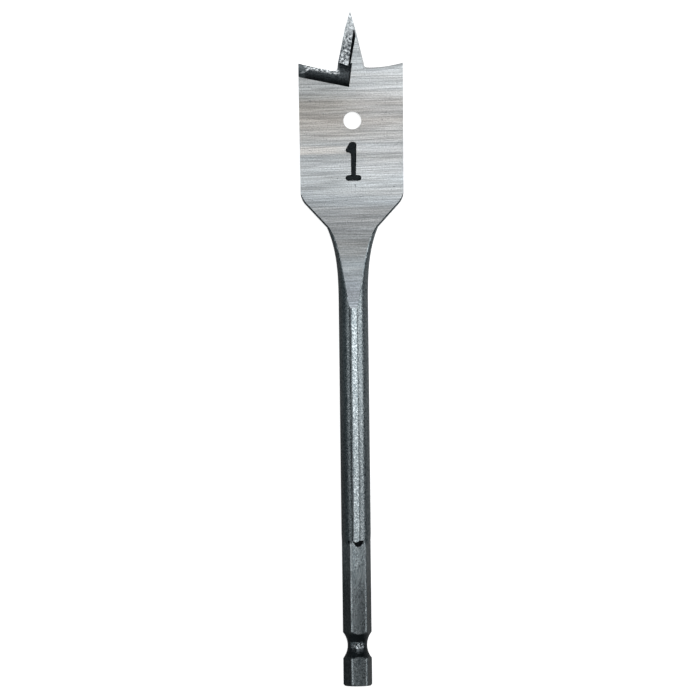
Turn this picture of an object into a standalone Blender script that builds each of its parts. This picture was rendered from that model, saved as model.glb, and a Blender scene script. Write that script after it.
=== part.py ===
"""A one inch spade drill bit, forged and ground from one bar.

It is built along +Y from the shank end, with +X across the blade and +Z out of its front, then set
down as it lies on a table: on the narrow flat along the back of its shaft.
"""

import math

import bmesh
import bpy
import numpy as np
from mathutils import Matrix

MM = 0.001

# Lengths along the bit, each from the end of the one before
SHANK_LENGTH = 35.3 * MM
ROUND_LENGTH = 55.4 * MM
RAMP_LENGTH = 20.5 * MM
BLADE_LENGTH = 39.9 * MM
POINT_LENGTH = 12.4 * MM

# Shank and shaft. The shaft is forged a little wider than round, and flat along its front and back.
SHAFT_RADIUS = 3.5 * MM
SHAFT_HALF_WIDTH = 3.57 * MM
SHAFT_HALF_DEPTH = 3.42 * MM
HEX_ACROSS_FLATS = 6.35 * MM
HEX_TWIST = math.radians(9.0)
HEX_RUNOUT = 1.6 * MM
END_CHAMFER = 0.35 * MM
NOTCH_FROM_END = 9.85 * MM
NOTCH_WIDTH = 6.3 * MM
NOTCH_FLOOR_RADIUS = 2.38 * MM

# Neck and blade
BLADE_WIDTH = 25.4 * MM
BLADE_THICKNESS = 3.1 * MM
BACK_TAPER = 0.2 * MM
KINK_HALF_WIDTH = 6.2 * MM
NECK_POWER = 3.3
RAMP_BLEND = 10.0 * MM
SHOULDER_ANGLE = math.radians(42.5)
SHOULDER_RADIUS = 4.5 * MM
SHOULDER_BULGE = 0.3 * MM
GROUND_EDGE_BULGE = 0.02 * MM
BULGE_BLEND = 2.5 * MM

# Wings and centre point, both cut with relief behind their leading edges. The left wing was ground
# lower and straighter than the right one.
LEFT_WING_DROP = 2.05 * MM
LEFT_WING_SAG_RADIUS = 90.0 * MM
RIGHT_WING_DROP = 1.15 * MM
RIGHT_WING_SAG_RADIUS = 30.0 * MM
WING_RELIEF = math.radians(27.0)
POINT_RELIEF = math.radians(10.0)
POINT_BASE_HALF_WIDTH = 3.4 * MM
POINT_ROOT_FILLET = 0.7 * MM
TIP_LENGTH = 4.4 * MM
TIP_BASE_HALF_WIDTH = 1.2 * MM
TIP_HALF_WIDTH = 0.06 * MM
TIP_HALF_THICKNESS = 0.07 * MM

# Rake grooves: a round cove behind each wing's edge and a flat one up each side of the point
COVE_DEPTH = 1.08 * MM
COVE_HALF_WIDTH = 2.9 * MM
COVE_OUTER_DROP = 3.4 * MM
COVE_SLOPE = math.radians(11.7)
COVE_WALL_OFFSET = -0.43 * MM
COVE_WALL_LEAN = math.radians(8.0)
COVE_WALL_DRAFT = math.radians(18.0)
POINT_GROOVE_FROM_CORNERS = 1.75 * MM
POINT_GROOVE_DEPTH = 0.6 * MM
POINT_GROOVE_TIP_DEPTH = 0.85 * MM
POINT_GROOVE_RAKE = math.radians(5.0)
POINT_WALL_OFFSET = 0.05 * MM
POINT_WALL_LEAN = math.radians(11.0)
POINT_WALL_DRAFT = math.radians(42.0)

# Hole and stamped size number, both a little off the axis
HOLE_DIAMETER = 4.35 * MM
HOLE_FROM_CORNERS = 14.0 * MM
HOLE_OFFSET = 0.27 * MM
DIGIT_FROM_CORNERS = 28.7 * MM
DIGIT_OFFSET = 0.38 * MM
DIGIT_DEPTH = 0.35 * MM
DIGIT_HEIGHT = 9.45 * MM

# How finely round surfaces are divided
SIDE_STEPS = 30
TURNED_STEPS = 64
FLAT_STEPS = 11
NECK_STEPS = 14
CORNER_STEPS = 6
NOTCH_STEPS = 14
COVE_STEPS = 20
WING_STEPS = 8
FILLET_STEPS = 5
HOLE_STEPS = 48

# How far a cutter reaches past what it cuts, and how close two points are one
CLEAR = 3.0 * MM
SAME_POINT = 0.001 * MM

# Stations along +Y that follow from the lengths
APEX = SHANK_LENGTH + ROUND_LENGTH
KINK = APEX + RAMP_LENGTH
CORNERS = KINK + BLADE_LENGTH
TIP = CORNERS + POINT_LENGTH
HALF_THICKNESS = BLADE_THICKNESS / 2
HALF_WIDTH = BLADE_WIDTH / 2
RAMP_SLOPE = (SHAFT_RADIUS - HALF_THICKNESS) / RAMP_LENGTH
RAMP_START = APEX + (SHAFT_RADIUS - SHAFT_HALF_DEPTH) / RAMP_SLOPE


def half_thickness_at(station):
    """Distance from the mid-plane to the shaft's flat or to the ground front or back face."""
    past_blend = KINK + RAMP_BLEND / 2 - station
    if past_blend <= 0:
        return HALF_THICKNESS
    if past_blend < RAMP_BLEND:
        return HALF_THICKNESS + RAMP_SLOPE * past_blend**2 / (2 * RAMP_BLEND)
    return min(HALF_THICKNESS + RAMP_SLOPE * (KINK - station), SHAFT_HALF_DEPTH)


def shoulder_corner():
    """The rounded corner where the sloping shoulder meets the blade's side, as (station, half width)."""
    rise = HALF_WIDTH - BACK_TAPER - KINK_HALF_WIDTH
    corner = (KINK + rise / math.tan(SHOULDER_ANGLE), KINK_HALF_WIDTH + rise)
    side_angle = math.atan2(BACK_TAPER, CORNERS - corner[0])
    tangent = SHOULDER_RADIUS * math.tan((SHOULDER_ANGLE - side_angle) / 2)
    start = (
        corner[0] - tangent * math.cos(SHOULDER_ANGLE),
        corner[1] - tangent * math.sin(SHOULDER_ANGLE),
    )
    centre = (
        start[0] + SHOULDER_RADIUS * math.sin(SHOULDER_ANGLE),
        start[1] - SHOULDER_RADIUS * math.cos(SHOULDER_ANGLE),
    )
    points = []
    for step in range(CORNER_STEPS + 1):
        angle = SHOULDER_ANGLE + (side_angle - SHOULDER_ANGLE) * step / CORNER_STEPS
        points.append(
            (
                centre[0] - SHOULDER_RADIUS * math.sin(angle),
                centre[1] + SHOULDER_RADIUS * math.cos(angle),
            )
        )
    return points, math.tan(side_angle)


def round_bulge(station, width):
    """How far the side of the bar stands out past the edges of its flats, where it is still round."""
    return width * (1 - math.sqrt(1 - (half_thickness_at(station) / SHAFT_RADIUS) ** 2))


def stations():
    """Every section of the bar as (station, half width, bulge of its side)."""
    found = []
    shaft = (
        (0.0, SHAFT_RADIUS),
        (SHANK_LENGTH, SHAFT_RADIUS),
        (SHANK_LENGTH + HEX_RUNOUT, SHAFT_HALF_WIDTH),
        (RAMP_START, SHAFT_HALF_WIDTH),
    )
    for station, width in shaft:
        found.append((station, width, round_bulge(station, width)))
    for step in range(1, NECK_STEPS + 1):
        share = step / NECK_STEPS
        station = APEX + share * RAMP_LENGTH
        width = SHAFT_HALF_WIDTH + (KINK_HALF_WIDTH - SHAFT_HALF_WIDTH) * share**NECK_POWER
        bulge = round_bulge(station, width)
        blend = max(0.0, 1 - (KINK - station) / BULGE_BLEND)
        found.append((station, width, bulge + (SHOULDER_BULGE - bulge) * blend))
    corner, side_slope = shoulder_corner()
    for share in (0.2, 0.45, 0.7):
        station = KINK + share * (corner[0][0] - KINK)
        width = KINK_HALF_WIDTH + share * (corner[0][1] - KINK_HALF_WIDTH)
        found.append((station, width, SHOULDER_BULGE))
    for step, (station, width) in enumerate(corner):
        share = step / CORNER_STEPS
        bulge = SHOULDER_BULGE + (GROUND_EDGE_BULGE - SHOULDER_BULGE) * share
        found.append((station, width, bulge))
    end = TIP + CLEAR
    width = corner[-1][1] + side_slope * (end - corner[-1][0])
    found.append((end, width, GROUND_EDGE_BULGE))
    return found


def section(station, width, bulge):
    """One closed ring of points: a flat front, a round side, a flat back, a round side."""
    corner = math.acos(1 - min(bulge, width) / width)
    depth = half_thickness_at(station) / math.sin(corner)
    angles = [corner * (1 - 2 * step / SIDE_STEPS) for step in range(SIDE_STEPS + 1)]
    side = [(width * math.cos(a), station, depth * math.sin(a)) for a in angles]
    return side + [(-x, y, z) for x, y, z in reversed(side)]


def tidy(mesh):
    """Joins points that lie within a thousandth of a millimetre, and turns every face outwards."""
    shape = bmesh.new()
    shape.from_mesh(mesh)
    bmesh.ops.remove_doubles(shape, verts=shape.verts, dist=SAME_POINT)
    bmesh.ops.recalc_face_normals(shape, faces=shape.faces)
    shape.to_mesh(mesh)
    shape.free()


def mesh_object(name, points, faces):
    """A closed mesh object with its faces pointing out."""
    mesh = bpy.data.meshes.new(name)
    mesh.from_pydata(points, [], faces)
    tidy(mesh)
    made = bpy.data.objects.new(name, mesh)
    bpy.context.scene.collection.objects.link(made)
    return made


def skin(name, rings, capped=True):
    """Rings of equal length joined into one closed surface, capped at its ends or joined round."""
    count = len(rings[0])
    points = [point for ring in rings for point in ring]
    faces = []
    last = len(rings) - 1 if capped else len(rings)
    for ring in range(last):
        near, far = ring * count, (ring + 1) % len(rings) * count
        for i in range(count):
            j = (i + 1) % count
            faces.append((near + i, near + j, far + j, far + i))
    if capped:
        faces.append(tuple(range(count)))
        faces.append(tuple(len(points) - count + i for i in range(count)))
    return mesh_object(name, points, faces)


def turned(name, profile):
    """A ring turned about the bit's axis from a closed outline of (radius, station)."""
    rings = []
    for step in range(TURNED_STEPS):
        angle = 2 * math.pi * (step + 0.5) / TURNED_STEPS
        rings.append([(r * math.cos(angle), y, r * math.sin(angle)) for r, y in profile])
    return skin(name, rings, capped=False)


def cut(body, cutter):
    """Takes the cutter away from the body and clears it up."""
    modifier = body.modifiers.new(cutter.name, "BOOLEAN")
    modifier.operation = "DIFFERENCE"
    modifier.solver = "EXACT"
    modifier.object = cutter
    graph = bpy.context.evaluated_depsgraph_get()
    made = bpy.data.meshes.new_from_object(body.evaluated_get(graph))
    body.modifiers.remove(modifier)
    tidy(made)
    old = body.data
    body.data = made
    bpy.data.meshes.remove(old)
    bpy.data.objects.remove(cutter)


def half_turned(cutter):
    """The cutter turned half a turn about the bit's axis, for its other side."""
    cutter.data.transform(Matrix.Rotation(math.pi, 4, "Y"))
    return cutter


def cut_both(body, make):
    """Cuts one side of the bit, then the same on its other side."""
    cut(body, make())
    cut(body, half_turned(make()))


def shank_cutter():
    """Everything outside the hexagon, which is twisted against the blade.

    It ends in the cone where the flats run out into the round.
    """
    apothem = HEX_ACROSS_FLATS / 2
    outer = SHAFT_RADIUS + CLEAR
    rise = HEX_RUNOUT / (SHAFT_RADIUS - apothem)
    rings = []
    for step in range(6 * FLAT_STEPS):
        angle = math.pi / 3 * step / FLAT_STEPS
        from_flat = angle % (math.pi / 3) - math.pi / 6
        inner = apothem / math.cos(from_flat)
        twisted = angle - HEX_TWIST
        ring = []
        for radius, low in ((inner, True), (outer, True), (outer, False), (inner, False)):
            top = SHANK_LENGTH + rise * (radius - SHAFT_RADIUS)
            y = -CLEAR if low else top
            ring.append((radius * math.cos(twisted), y, radius * math.sin(twisted)))
        rings.append(ring)
    return skin("shank_cutter", rings, capped=False)


def notch_cutter():
    """The turned notch that a quick-change chuck's balls lock into."""
    depth = SHAFT_RADIUS - NOTCH_FLOOR_RADIUS
    half = NOTCH_WIDTH / 2
    radius = (half**2 + depth**2) / (2 * depth)
    reach = math.asin(min(1.0, (half + depth / 2) / radius))
    profile = []
    for step in range(NOTCH_STEPS + 1):
        angle = reach * (2 * step / NOTCH_STEPS - 1)
        profile.append(
            (
                NOTCH_FLOOR_RADIUS + radius * (1 - math.cos(angle)),
                NOTCH_FROM_END + radius * math.sin(angle),
            )
        )
    outer = SHAFT_RADIUS + CLEAR
    profile.append((outer, profile[-1][1]))
    profile.append((outer, profile[0][1]))
    return turned("notch_cutter", profile)


def end_chamfer_cutter():
    """The small bevel round the shank end."""
    low = SHAFT_RADIUS - 2 * END_CHAMFER
    high = SHAFT_RADIUS + END_CHAMFER
    profile = [(low, -END_CHAMFER), (high, 2 * END_CHAMFER), (high, -END_CHAMFER)]
    return turned("end_chamfer_cutter", profile)


def rounded_corner(before, corner, after, radius, steps):
    """Points of an arc of this radius that rounds the corner between two straight lines."""
    to_before = np.subtract(before, corner)
    to_after = np.subtract(after, corner)
    to_before /= np.linalg.norm(to_before)
    to_after /= np.linalg.norm(to_after)
    half = math.acos(float(np.dot(to_before, to_after))) / 2
    bisector = to_before + to_after
    bisector /= np.linalg.norm(bisector)
    centre = np.add(corner, bisector * radius / math.sin(half))
    start = np.add(corner, to_before * radius / math.tan(half)) - centre
    end = np.add(corner, to_after * radius / math.tan(half)) - centre
    first = math.atan2(start[1], start[0])
    turn = (math.atan2(end[1], end[0]) - first + math.pi) % (2 * math.pi) - math.pi
    points = []
    for step in range(steps + 1):
        angle = first + turn * step / steps
        points.append(
            (
                float(centre[0]) + radius * math.cos(angle),
                float(centre[1]) + radius * math.sin(angle),
            )
        )
    return points


def wing_edge(drop, sag_radius):
    """A wing's leading edge from outer corner to inner corner, a hollow arc, as a left wing."""
    outer = (-HALF_WIDTH, CORNERS)
    inner = (-POINT_BASE_HALF_WIDTH, CORNERS - drop)
    run, rise = inner[0] - outer[0], inner[1] - outer[1]
    chord = math.hypot(run, rise)
    away = math.sqrt(sag_radius**2 - chord**2 / 4)
    centre = (
        outer[0] + run / 2 - rise / chord * away,
        outer[1] + rise / 2 + run / chord * away,
    )
    first = math.atan2(outer[1] - centre[1], outer[0] - centre[0])
    last = math.atan2(inner[1] - centre[1], inner[0] - centre[0])
    points = []
    for step in range(WING_STEPS + 1):
        angle = first + (last - first) * step / WING_STEPS
        points.append(
            (
                centre[0] + sag_radius * math.cos(angle),
                centre[1] + sag_radius * math.sin(angle),
            )
        )
    return points


def wing_cutter(drop, sag_radius):
    """What is ground off above a left wing and left of the point, leaning back for relief."""
    edge_height = HALF_THICKNESS - COVE_DEPTH
    lift = math.tan(WING_RELIEF)
    edge = [(x, y - lift * edge_height) for x, y in wing_edge(drop, sag_radius)]
    slope = (POINT_BASE_HALF_WIDTH - TIP_BASE_HALF_WIDTH) / (TIP - TIP_LENGTH - edge[-1][1])
    lean = math.tan(POINT_RELIEF) - slope * lift
    root = (edge[-1][0] + math.tan(POINT_RELIEF) * edge_height, edge[-1][1])
    tip_base = (-TIP_BASE_HALF_WIDTH, TIP - TIP_LENGTH)
    root_arc = rounded_corner(edge[-3], root, tip_base, POINT_ROOT_FILLET, FILLET_STEPS)
    start = edge[0]
    out = (start[0] - CLEAR, start[1] + CLEAR * (start[1] - edge[1][1]) / (edge[1][0] - start[0]))
    tip_slope = (TIP_BASE_HALF_WIDTH - TIP_HALF_WIDTH) / TIP_LENGTH
    over = (CLEAR * tip_slope - TIP_HALF_WIDTH, TIP + CLEAR)
    outline = [out, *edge[:-1], *root_arc, tip_base, over, (out[0], over[1])]
    reach = HALF_THICKNESS + CLEAR
    rings = []
    for z in (-reach, reach):
        rings.append([(x - lean * z, y + lift * z, z) for x, y in outline])
    return skin("wing_cutter", rings)


def cove_cutter():
    """The round rake groove across the front of the left wing, ended by a wall near the axis."""
    along = np.array([math.cos(COVE_SLOPE), -math.sin(COVE_SLOPE)])
    across = np.array([math.sin(COVE_SLOPE), math.cos(COVE_SLOPE)])
    outer = np.array([-HALF_WIDTH, CORNERS - COVE_OUTER_DROP])
    wall_foot_y = outer[1] - (HALF_WIDTH + COVE_WALL_OFFSET) * math.tan(COVE_SLOPE)
    wall_foot = np.array([COVE_WALL_OFFSET, wall_foot_y])
    wall_normal = np.array([-math.cos(COVE_WALL_LEAN), math.sin(COVE_WALL_LEAN)])
    radius = (COVE_HALF_WIDTH**2 + COVE_DEPTH**2) / (2 * COVE_DEPTH)
    height = radius - COVE_DEPTH
    reach = math.acos((height - COVE_DEPTH) / radius)
    started, ended = [], []
    for step in range(COVE_STEPS + 1):
        angle = reach * (2 * step / COVE_STEPS - 1)
        offset = COVE_HALF_WIDTH + radius * math.sin(angle)
        above_face = height - radius * math.cos(angle)
        base = outer + across * offset
        wanted = -math.tan(COVE_WALL_DRAFT) * above_face
        run = (wanted - wall_normal @ (base - wall_foot)) / (wall_normal @ along)
        z = HALF_THICKNESS + above_face
        started.append((*(base - along * CLEAR), z))
        ended.append((*(base + along * run), z))
    return skin("cove_cutter", [started, ended])


def point_floor(x, y):
    """Height of the flat rake groove's floor on the front of the point."""
    tip_base = TIP - TIP_LENGTH
    deepening = POINT_GROOVE_TIP_DEPTH - POINT_GROOVE_DEPTH
    depth = POINT_GROOVE_DEPTH + deepening * (y - CORNERS) / (tip_base - CORNERS)
    return HALF_THICKNESS - depth - math.tan(POINT_GROOVE_RAKE) * x


def point_groove_cutter():
    """The flat rake groove up the front left of the point."""
    top = HALF_THICKNESS + CLEAR
    low_y, high_y = CORNERS - POINT_GROOVE_FROM_CORNERS, TIP + CLEAR
    draft = math.tan(POINT_WALL_DRAFT)
    rings = []
    for y in (low_y, high_y):
        wall = POINT_WALL_OFFSET + math.tan(POINT_WALL_LEAN) * (y - CORNERS)
        rake = math.tan(POINT_GROOVE_RAKE)
        depth_at_axis = HALF_THICKNESS - point_floor(0.0, y)
        foot = (wall - draft * depth_at_axis) / (1 + draft * rake)
        left = -POINT_BASE_HALF_WIDTH - CLEAR
        rings.append(
            [
                (left, y, top),
                (left, y, point_floor(left, y)),
                (foot, y, point_floor(foot, y)),
                (wall + draft * CLEAR, y, top),
            ]
        )
    return skin("point_groove_cutter", rings)


def tip_cutter():
    """The steeper bevel that brings the front of the point down to its tip."""
    base_y = TIP - TIP_LENGTH
    base_z = point_floor(0.0, base_y)
    slope = (base_z - TIP_HALF_THICKNESS) / TIP_LENGTH
    side = POINT_BASE_HALF_WIDTH + CLEAR
    top = HALF_THICKNESS + CLEAR
    rake = math.tan(POINT_GROOVE_RAKE)
    rings = []
    for y in (base_y - 0.05 * MM, TIP + CLEAR):
        floor = base_z - slope * (y - base_y)
        rings.append(
            [
                (-side, y, top),
                (-side, y, floor + rake * side),
                (side, y, floor - rake * side),
                (side, y, top),
            ]
        )
    return skin("tip_cutter", rings)


def end_cutter():
    """Ends the point in a small blunt face at its full length."""
    side = POINT_BASE_HALF_WIDTH + HALF_WIDTH
    reach = HALF_THICKNESS + CLEAR
    rings = []
    for y in (TIP, TIP + 2 * CLEAR):
        rings.append([(-side, y, -reach), (side, y, -reach), (side, y, reach), (-side, y, reach)])
    return skin("end_cutter", rings)


def hole_cutter():
    """The hanging hole."""
    radius = HOLE_DIAMETER / 2
    reach = HALF_THICKNESS + CLEAR
    rings = []
    for z in (-reach, reach):
        ring = []
        for step in range(HOLE_STEPS):
            angle = 2 * math.pi * step / HOLE_STEPS
            x = HOLE_OFFSET + radius * math.cos(angle)
            ring.append((x, CORNERS - HOLE_FROM_CORNERS + radius * math.sin(angle), z))
        rings.append(ring)
    return skin("hole_cutter", rings)


def digit_outline():
    """The figure one with rounded strokes, in shares of its height, from the middle of its foot."""
    foot, foot_radius = 0.129, 0.075
    points = []
    for step in range(9):
        angle = math.pi * (step / 8 - 0.5)
        points.append((foot + foot_radius * math.cos(angle), foot_radius * (1 + math.sin(angle))))
    points.append((0.066, 2 * foot_radius))
    for step in range(7):
        angle = math.pi * step / 12
        points.append((0.008 + 0.077 * math.cos(angle), 0.923 + 0.077 * math.sin(angle)))
    points.append((-0.055, 1.0))
    points.append((-0.095, 0.98))
    for step in range(6):
        angle = math.radians(155 + 25 * step)
        points.append((-0.138 + 0.058 * math.cos(angle), 0.78 + 0.058 * math.sin(angle)))
    points.append((-0.082, 0.716))
    points.append((-0.06, 0.68))
    points.append((-0.06, 2 * foot_radius))
    for step in range(9):
        angle = math.pi * (0.5 + step / 8)
        points.append((-foot + foot_radius * math.cos(angle), foot_radius * (1 + math.sin(angle))))
    return points


def digit_cutter():
    """The stamped size number, sunk into the front of the blade."""
    base = CORNERS - DIGIT_FROM_CORNERS
    rings = []
    for z in (HALF_THICKNESS - DIGIT_DEPTH, HALF_THICKNESS + CLEAR):
        ring = []
        for x, y in digit_outline():
            ring.append((DIGIT_OFFSET + x * DIGIT_HEIGHT, base + y * DIGIT_HEIGHT, z))
        rings.append(ring)
    return skin("digit_cutter", rings)


def set_down(body):
    """Sets the bit down on the flat along the back of its shaft, centred on the floor."""
    flat = np.empty(len(body.data.vertices) * 3)
    body.data.vertices.foreach_get("co", flat)
    points = flat.reshape(-1, 3)
    low, high = points.min(axis=0), points.max(axis=0)
    middle = (low + high) / 2
    body.data.transform(Matrix.Translation((-middle[0], -middle[1], -low[2])))
    print("moved by", -middle[0], -middle[1], -low[2])


def steel():
    """Bare steel."""
    material = bpy.data.materials.new("forged_steel")
    material.use_nodes = True
    shader = material.node_tree.nodes["Principled BSDF"]
    shader.inputs["Base Color"].default_value = (0.36, 0.38, 0.39, 1.0)
    shader.inputs["Metallic"].default_value = 1.0
    shader.inputs["Roughness"].default_value = 0.38
    return material


def spade_bit():
    """The whole bit, one closed body."""
    body = skin("spade_bit", [section(*row) for row in stations()])
    cut(body, shank_cutter())
    cut(body, notch_cutter())
    cut(body, end_chamfer_cutter())
    cut(body, wing_cutter(LEFT_WING_DROP, LEFT_WING_SAG_RADIUS))
    cut(body, half_turned(wing_cutter(RIGHT_WING_DROP, RIGHT_WING_SAG_RADIUS)))
    cut_both(body, cove_cutter)
    cut_both(body, point_groove_cutter)
    cut_both(body, tip_cutter)
    cut(body, end_cutter())
    cut(body, hole_cutter())
    cut(body, digit_cutter())
    set_down(body)
    body.data.shade_smooth()
    body.data.set_sharp_from_angle(angle=math.radians(18.0))
    body.data.materials.clear()
    body.data.materials.append(steel())
    return body


for leftover in list(bpy.data.objects):
    bpy.data.objects.remove(leftover)
spade_bit()
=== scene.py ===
"""A spade drill bit dressed as it lies: dark forged skin, ground blade and ramps, rough cut grooves."""

import logging
import math
from contextlib import contextmanager
from dataclasses import dataclass, field
from enum import Enum
from typing import Callable, Iterator, Sequence

import bmesh
import bpy
from mathutils import Matrix, Vector


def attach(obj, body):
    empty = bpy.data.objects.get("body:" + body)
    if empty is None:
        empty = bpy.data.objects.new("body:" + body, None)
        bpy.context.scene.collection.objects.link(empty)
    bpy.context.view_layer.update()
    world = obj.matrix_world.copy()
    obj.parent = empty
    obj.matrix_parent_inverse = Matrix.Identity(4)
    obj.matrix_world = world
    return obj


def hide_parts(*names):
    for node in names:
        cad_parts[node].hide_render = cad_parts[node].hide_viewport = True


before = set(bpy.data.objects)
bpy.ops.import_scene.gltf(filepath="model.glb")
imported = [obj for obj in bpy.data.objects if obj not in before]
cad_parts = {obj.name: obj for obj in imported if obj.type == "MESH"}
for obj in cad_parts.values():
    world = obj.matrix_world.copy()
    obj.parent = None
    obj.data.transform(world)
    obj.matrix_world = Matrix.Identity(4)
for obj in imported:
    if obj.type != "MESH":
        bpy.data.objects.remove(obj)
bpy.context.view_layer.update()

LOG = logging.getLogger("spade_bit")
MM = 0.001
Point = tuple[float, float, float]
Outline = list[tuple[float, float]]

# How an upright primitive is turned to lie along the bit
ALONG_BIT = (-math.pi / 2, 0.0, 0.0)
# How far a cutter reaches past what it cuts
CLEAR = 3.0 * MM
# How close two points are one after a cut, and how close a corner already is in its place
MERGED = 0.001 * MM
IN_PLACE = 0.000001 * MM
# Sides of the round cutters that leave a visible surface, and of the plain ones
FINE_SIDES = 160
PLAIN_SIDES = 96


class Finish(Enum):
    """The finishes of the bit, by the name of their material."""

    FORGED = "forged_skin"
    GROUND = "ground_steel"
    RELIEF = "ground_relief"
    COVE = "cove_cut"
    POINT = "point_cut"
    STAMP = "stamped_recess"
    # Painted shade on the groove walls and run-outs
    PAINTED_SHADE_WALL = "painted_shade_wall"


@dataclass(frozen=True)
class RestPose:
    """How the bit lies: level, on the flat along the back of its shaft."""

    axis_height: float = 3.42 * MM
    shank_end: float = -81.75 * MM

    def matrix(self) -> Matrix:
        """The matrix from the bit's own axes, with its shank end at zero, to where it lies."""
        return Matrix.Translation((0.0, self.shank_end, self.axis_height))


REST = RestPose()


def clear_selection() -> None:
    """Leaves object mode with nothing selected."""
    if bpy.context.object is not None and bpy.context.object.mode != "OBJECT":
        bpy.ops.object.mode_set(mode="OBJECT")
    bpy.ops.object.select_all(action="DESELECT")


def make_active(piece: bpy.types.Object) -> None:
    """Selects one object alone and makes it the active one."""
    clear_selection()
    piece.select_set(True)
    bpy.context.view_layer.objects.active = piece


def apply_place(piece: bpy.types.Object) -> None:
    """Moves an object's place, turn and scale into its mesh."""
    make_active(piece)
    bpy.ops.object.transform_apply(location=True, rotation=True, scale=True)


@contextmanager
def editing(piece: bpy.types.Object, kind: str = "VERT") -> Iterator[None]:
    """Opens one piece in edit mode, and leaves that mode again.

    Args:
        piece: The piece.
        kind: What is selected in it, as Blender names it.
    """
    make_active(piece)
    bpy.ops.object.mode_set(mode="EDIT")
    bpy.ops.mesh.select_mode(type=kind)
    yield
    bpy.ops.object.mode_set(mode="OBJECT")


def pick(piece: bpy.types.Object, wanted: Callable[[bmesh.types.BMFace], bool]) -> None:
    """Selects the faces of the mesh being edited that pass a test.

    Args:
        piece: The object in edit mode.
        wanted: Says whether a face is selected.
    """
    shape = bmesh.from_edit_mesh(piece.data)
    for part in (*shape.verts, *shape.edges):
        part.select = False
    for face in shape.faces:
        face.select_set(bool(wanted(face)))
    shape.select_flush_mode()
    bmesh.update_edit_mesh(piece.data)


def pick_edges(piece: bpy.types.Object, wanted: Callable[[bmesh.types.BMEdge], bool]) -> None:
    """Selects the edges of the mesh being edited that pass a test.

    Args:
        piece: The object in edit mode.
        wanted: Says whether an edge is selected.
    """
    bpy.ops.mesh.select_all(action="DESELECT")
    shape = bmesh.from_edit_mesh(piece.data)
    for edge in shape.edges:
        edge.select_set(bool(wanted(edge)))
    bmesh.update_edit_mesh(piece.data)


def finishes_beside(edge: bmesh.types.BMEdge) -> set[int]:
    """The material numbers of the faces that meet at an edge."""
    return {face.material_index for face in edge.link_faces}


def cut_off(piece: bpy.types.Object, foot: Sequence[float], facing: Sequence[float]) -> None:
    """Cuts off what lies beyond a plane, and closes the cut.

    Args:
        piece: The piece.
        foot: A point of the plane.
        facing: The way the plane faces.
    """
    with editing(piece):
        bpy.ops.mesh.select_all(action="SELECT")
        bpy.ops.mesh.bisect(plane_co=foot, plane_no=facing, use_fill=True, clear_outer=True)


def move_corner(piece: bpy.types.Object, index: int, target: Sequence[float]) -> None:
    """Moves one corner of the mesh being edited to its place.

    Args:
        piece: The object in edit mode.
        index: The corner's number.
        target: Where it goes.
    """
    shape = bmesh.from_edit_mesh(piece.data)
    shape.verts.ensure_lookup_table()
    for corner in shape.verts:
        corner.select = corner.index == index
    shape.select_flush_mode()
    away = Vector(target) - shape.verts[index].co
    bmesh.update_edit_mesh(piece.data)
    bpy.ops.transform.translate(value=away)


def solid_between(name: str, start: Sequence[Point], end: Sequence[Point]) -> bpy.types.Object:
    """A closed solid between two flat outlines of as many corners.

    Args:
        name: The object's name.
        start: The first outline, in order.
        end: The outline opposite it, in the same order.

    Returns:
        The solid, with its faces outwards.
    """
    clear_selection()
    bpy.ops.mesh.primitive_circle_add(vertices=len(start), radius=MM, fill_type="NGON")
    piece = bpy.context.object
    piece.name = name
    with editing(piece):
        for index, target in enumerate(start):
            move_corner(piece, index, target)
        bpy.ops.mesh.select_all(action="SELECT")
        away = Vector(end[0]) - Vector(start[0])
        bpy.ops.mesh.extrude_region_move(TRANSFORM_OT_translate={"value": away})
        shape = bmesh.from_edit_mesh(piece.data)
        shape.verts.ensure_lookup_table()
        moved = [corner.index for corner in shape.verts if corner.select]
        places = {index: shape.verts[index].co.copy() for index in moved}
        for index, place in places.items():
            nearest = min(range(len(start)), key=lambda i: (Vector(start[i]) + away - place).length)
            if (Vector(end[nearest]) - place).length > IN_PLACE:
                move_corner(piece, index, end[nearest])
        bpy.ops.mesh.select_all(action="SELECT")
        bpy.ops.mesh.normals_make_consistent(inside=False)
    return piece


def profile_across(name: str, line: Outline, reach: float) -> bpy.types.Object:
    """A solid of one side view, drawn out to both sides.

    Args:
        name: The object's name.
        line: Stations and heights of the side view's corners.
        reach: How far it goes to each side.

    Returns:
        The solid.
    """
    left, right = ([(side, y, z) for y, z in line] for side in (-reach, reach))
    return solid_between(name, left, right)


def rod(name: str, radius: float, start: float, end: float, sides: int) -> bpy.types.Object:
    """A rod along the bit.

    Args:
        name: The object's name.
        radius: Its radius.
        start: Station where it starts.
        end: Station where it ends.
        sides: How many sides stand for its roundness.

    Returns:
        The rod.
    """
    clear_selection()
    bpy.ops.mesh.primitive_cylinder_add(
        vertices=sides,
        radius=radius,
        depth=end - start,
        location=(0.0, (end + start) / 2, 0.0),
        rotation=ALONG_BIT,
    )
    piece = bpy.context.object
    piece.name = name
    apply_place(piece)
    return piece


def cone(start: float, start_radius: float, end: float, end_radius: float) -> bpy.types.Object:
    """A cone along the bit, cut off at both ends.

    Args:
        start: Station where it starts.
        start_radius: Its radius there.
        end: Station where it ends.
        end_radius: Its radius there.

    Returns:
        The cone.
    """
    clear_selection()
    bpy.ops.mesh.primitive_cone_add(
        vertices=FINE_SIDES,
        radius1=start_radius,
        radius2=end_radius,
        depth=end - start,
        location=(0.0, (end + start) / 2, 0.0),
        rotation=ALONG_BIT,
    )
    piece = bpy.context.object
    apply_place(piece)
    return piece


def turn_over(piece: bpy.types.Object) -> None:
    """Turns a cutter half a turn about the bit's axis, for its other side."""
    piece.rotation_euler = (0.0, math.pi, 0.0)
    apply_place(piece)


def coat(piece: bpy.types.Object, finish: Finish) -> None:
    """Gives a whole piece one finish."""
    piece.data.materials.clear()
    piece.data.materials.append(bpy.data.materials[finish.value])


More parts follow.
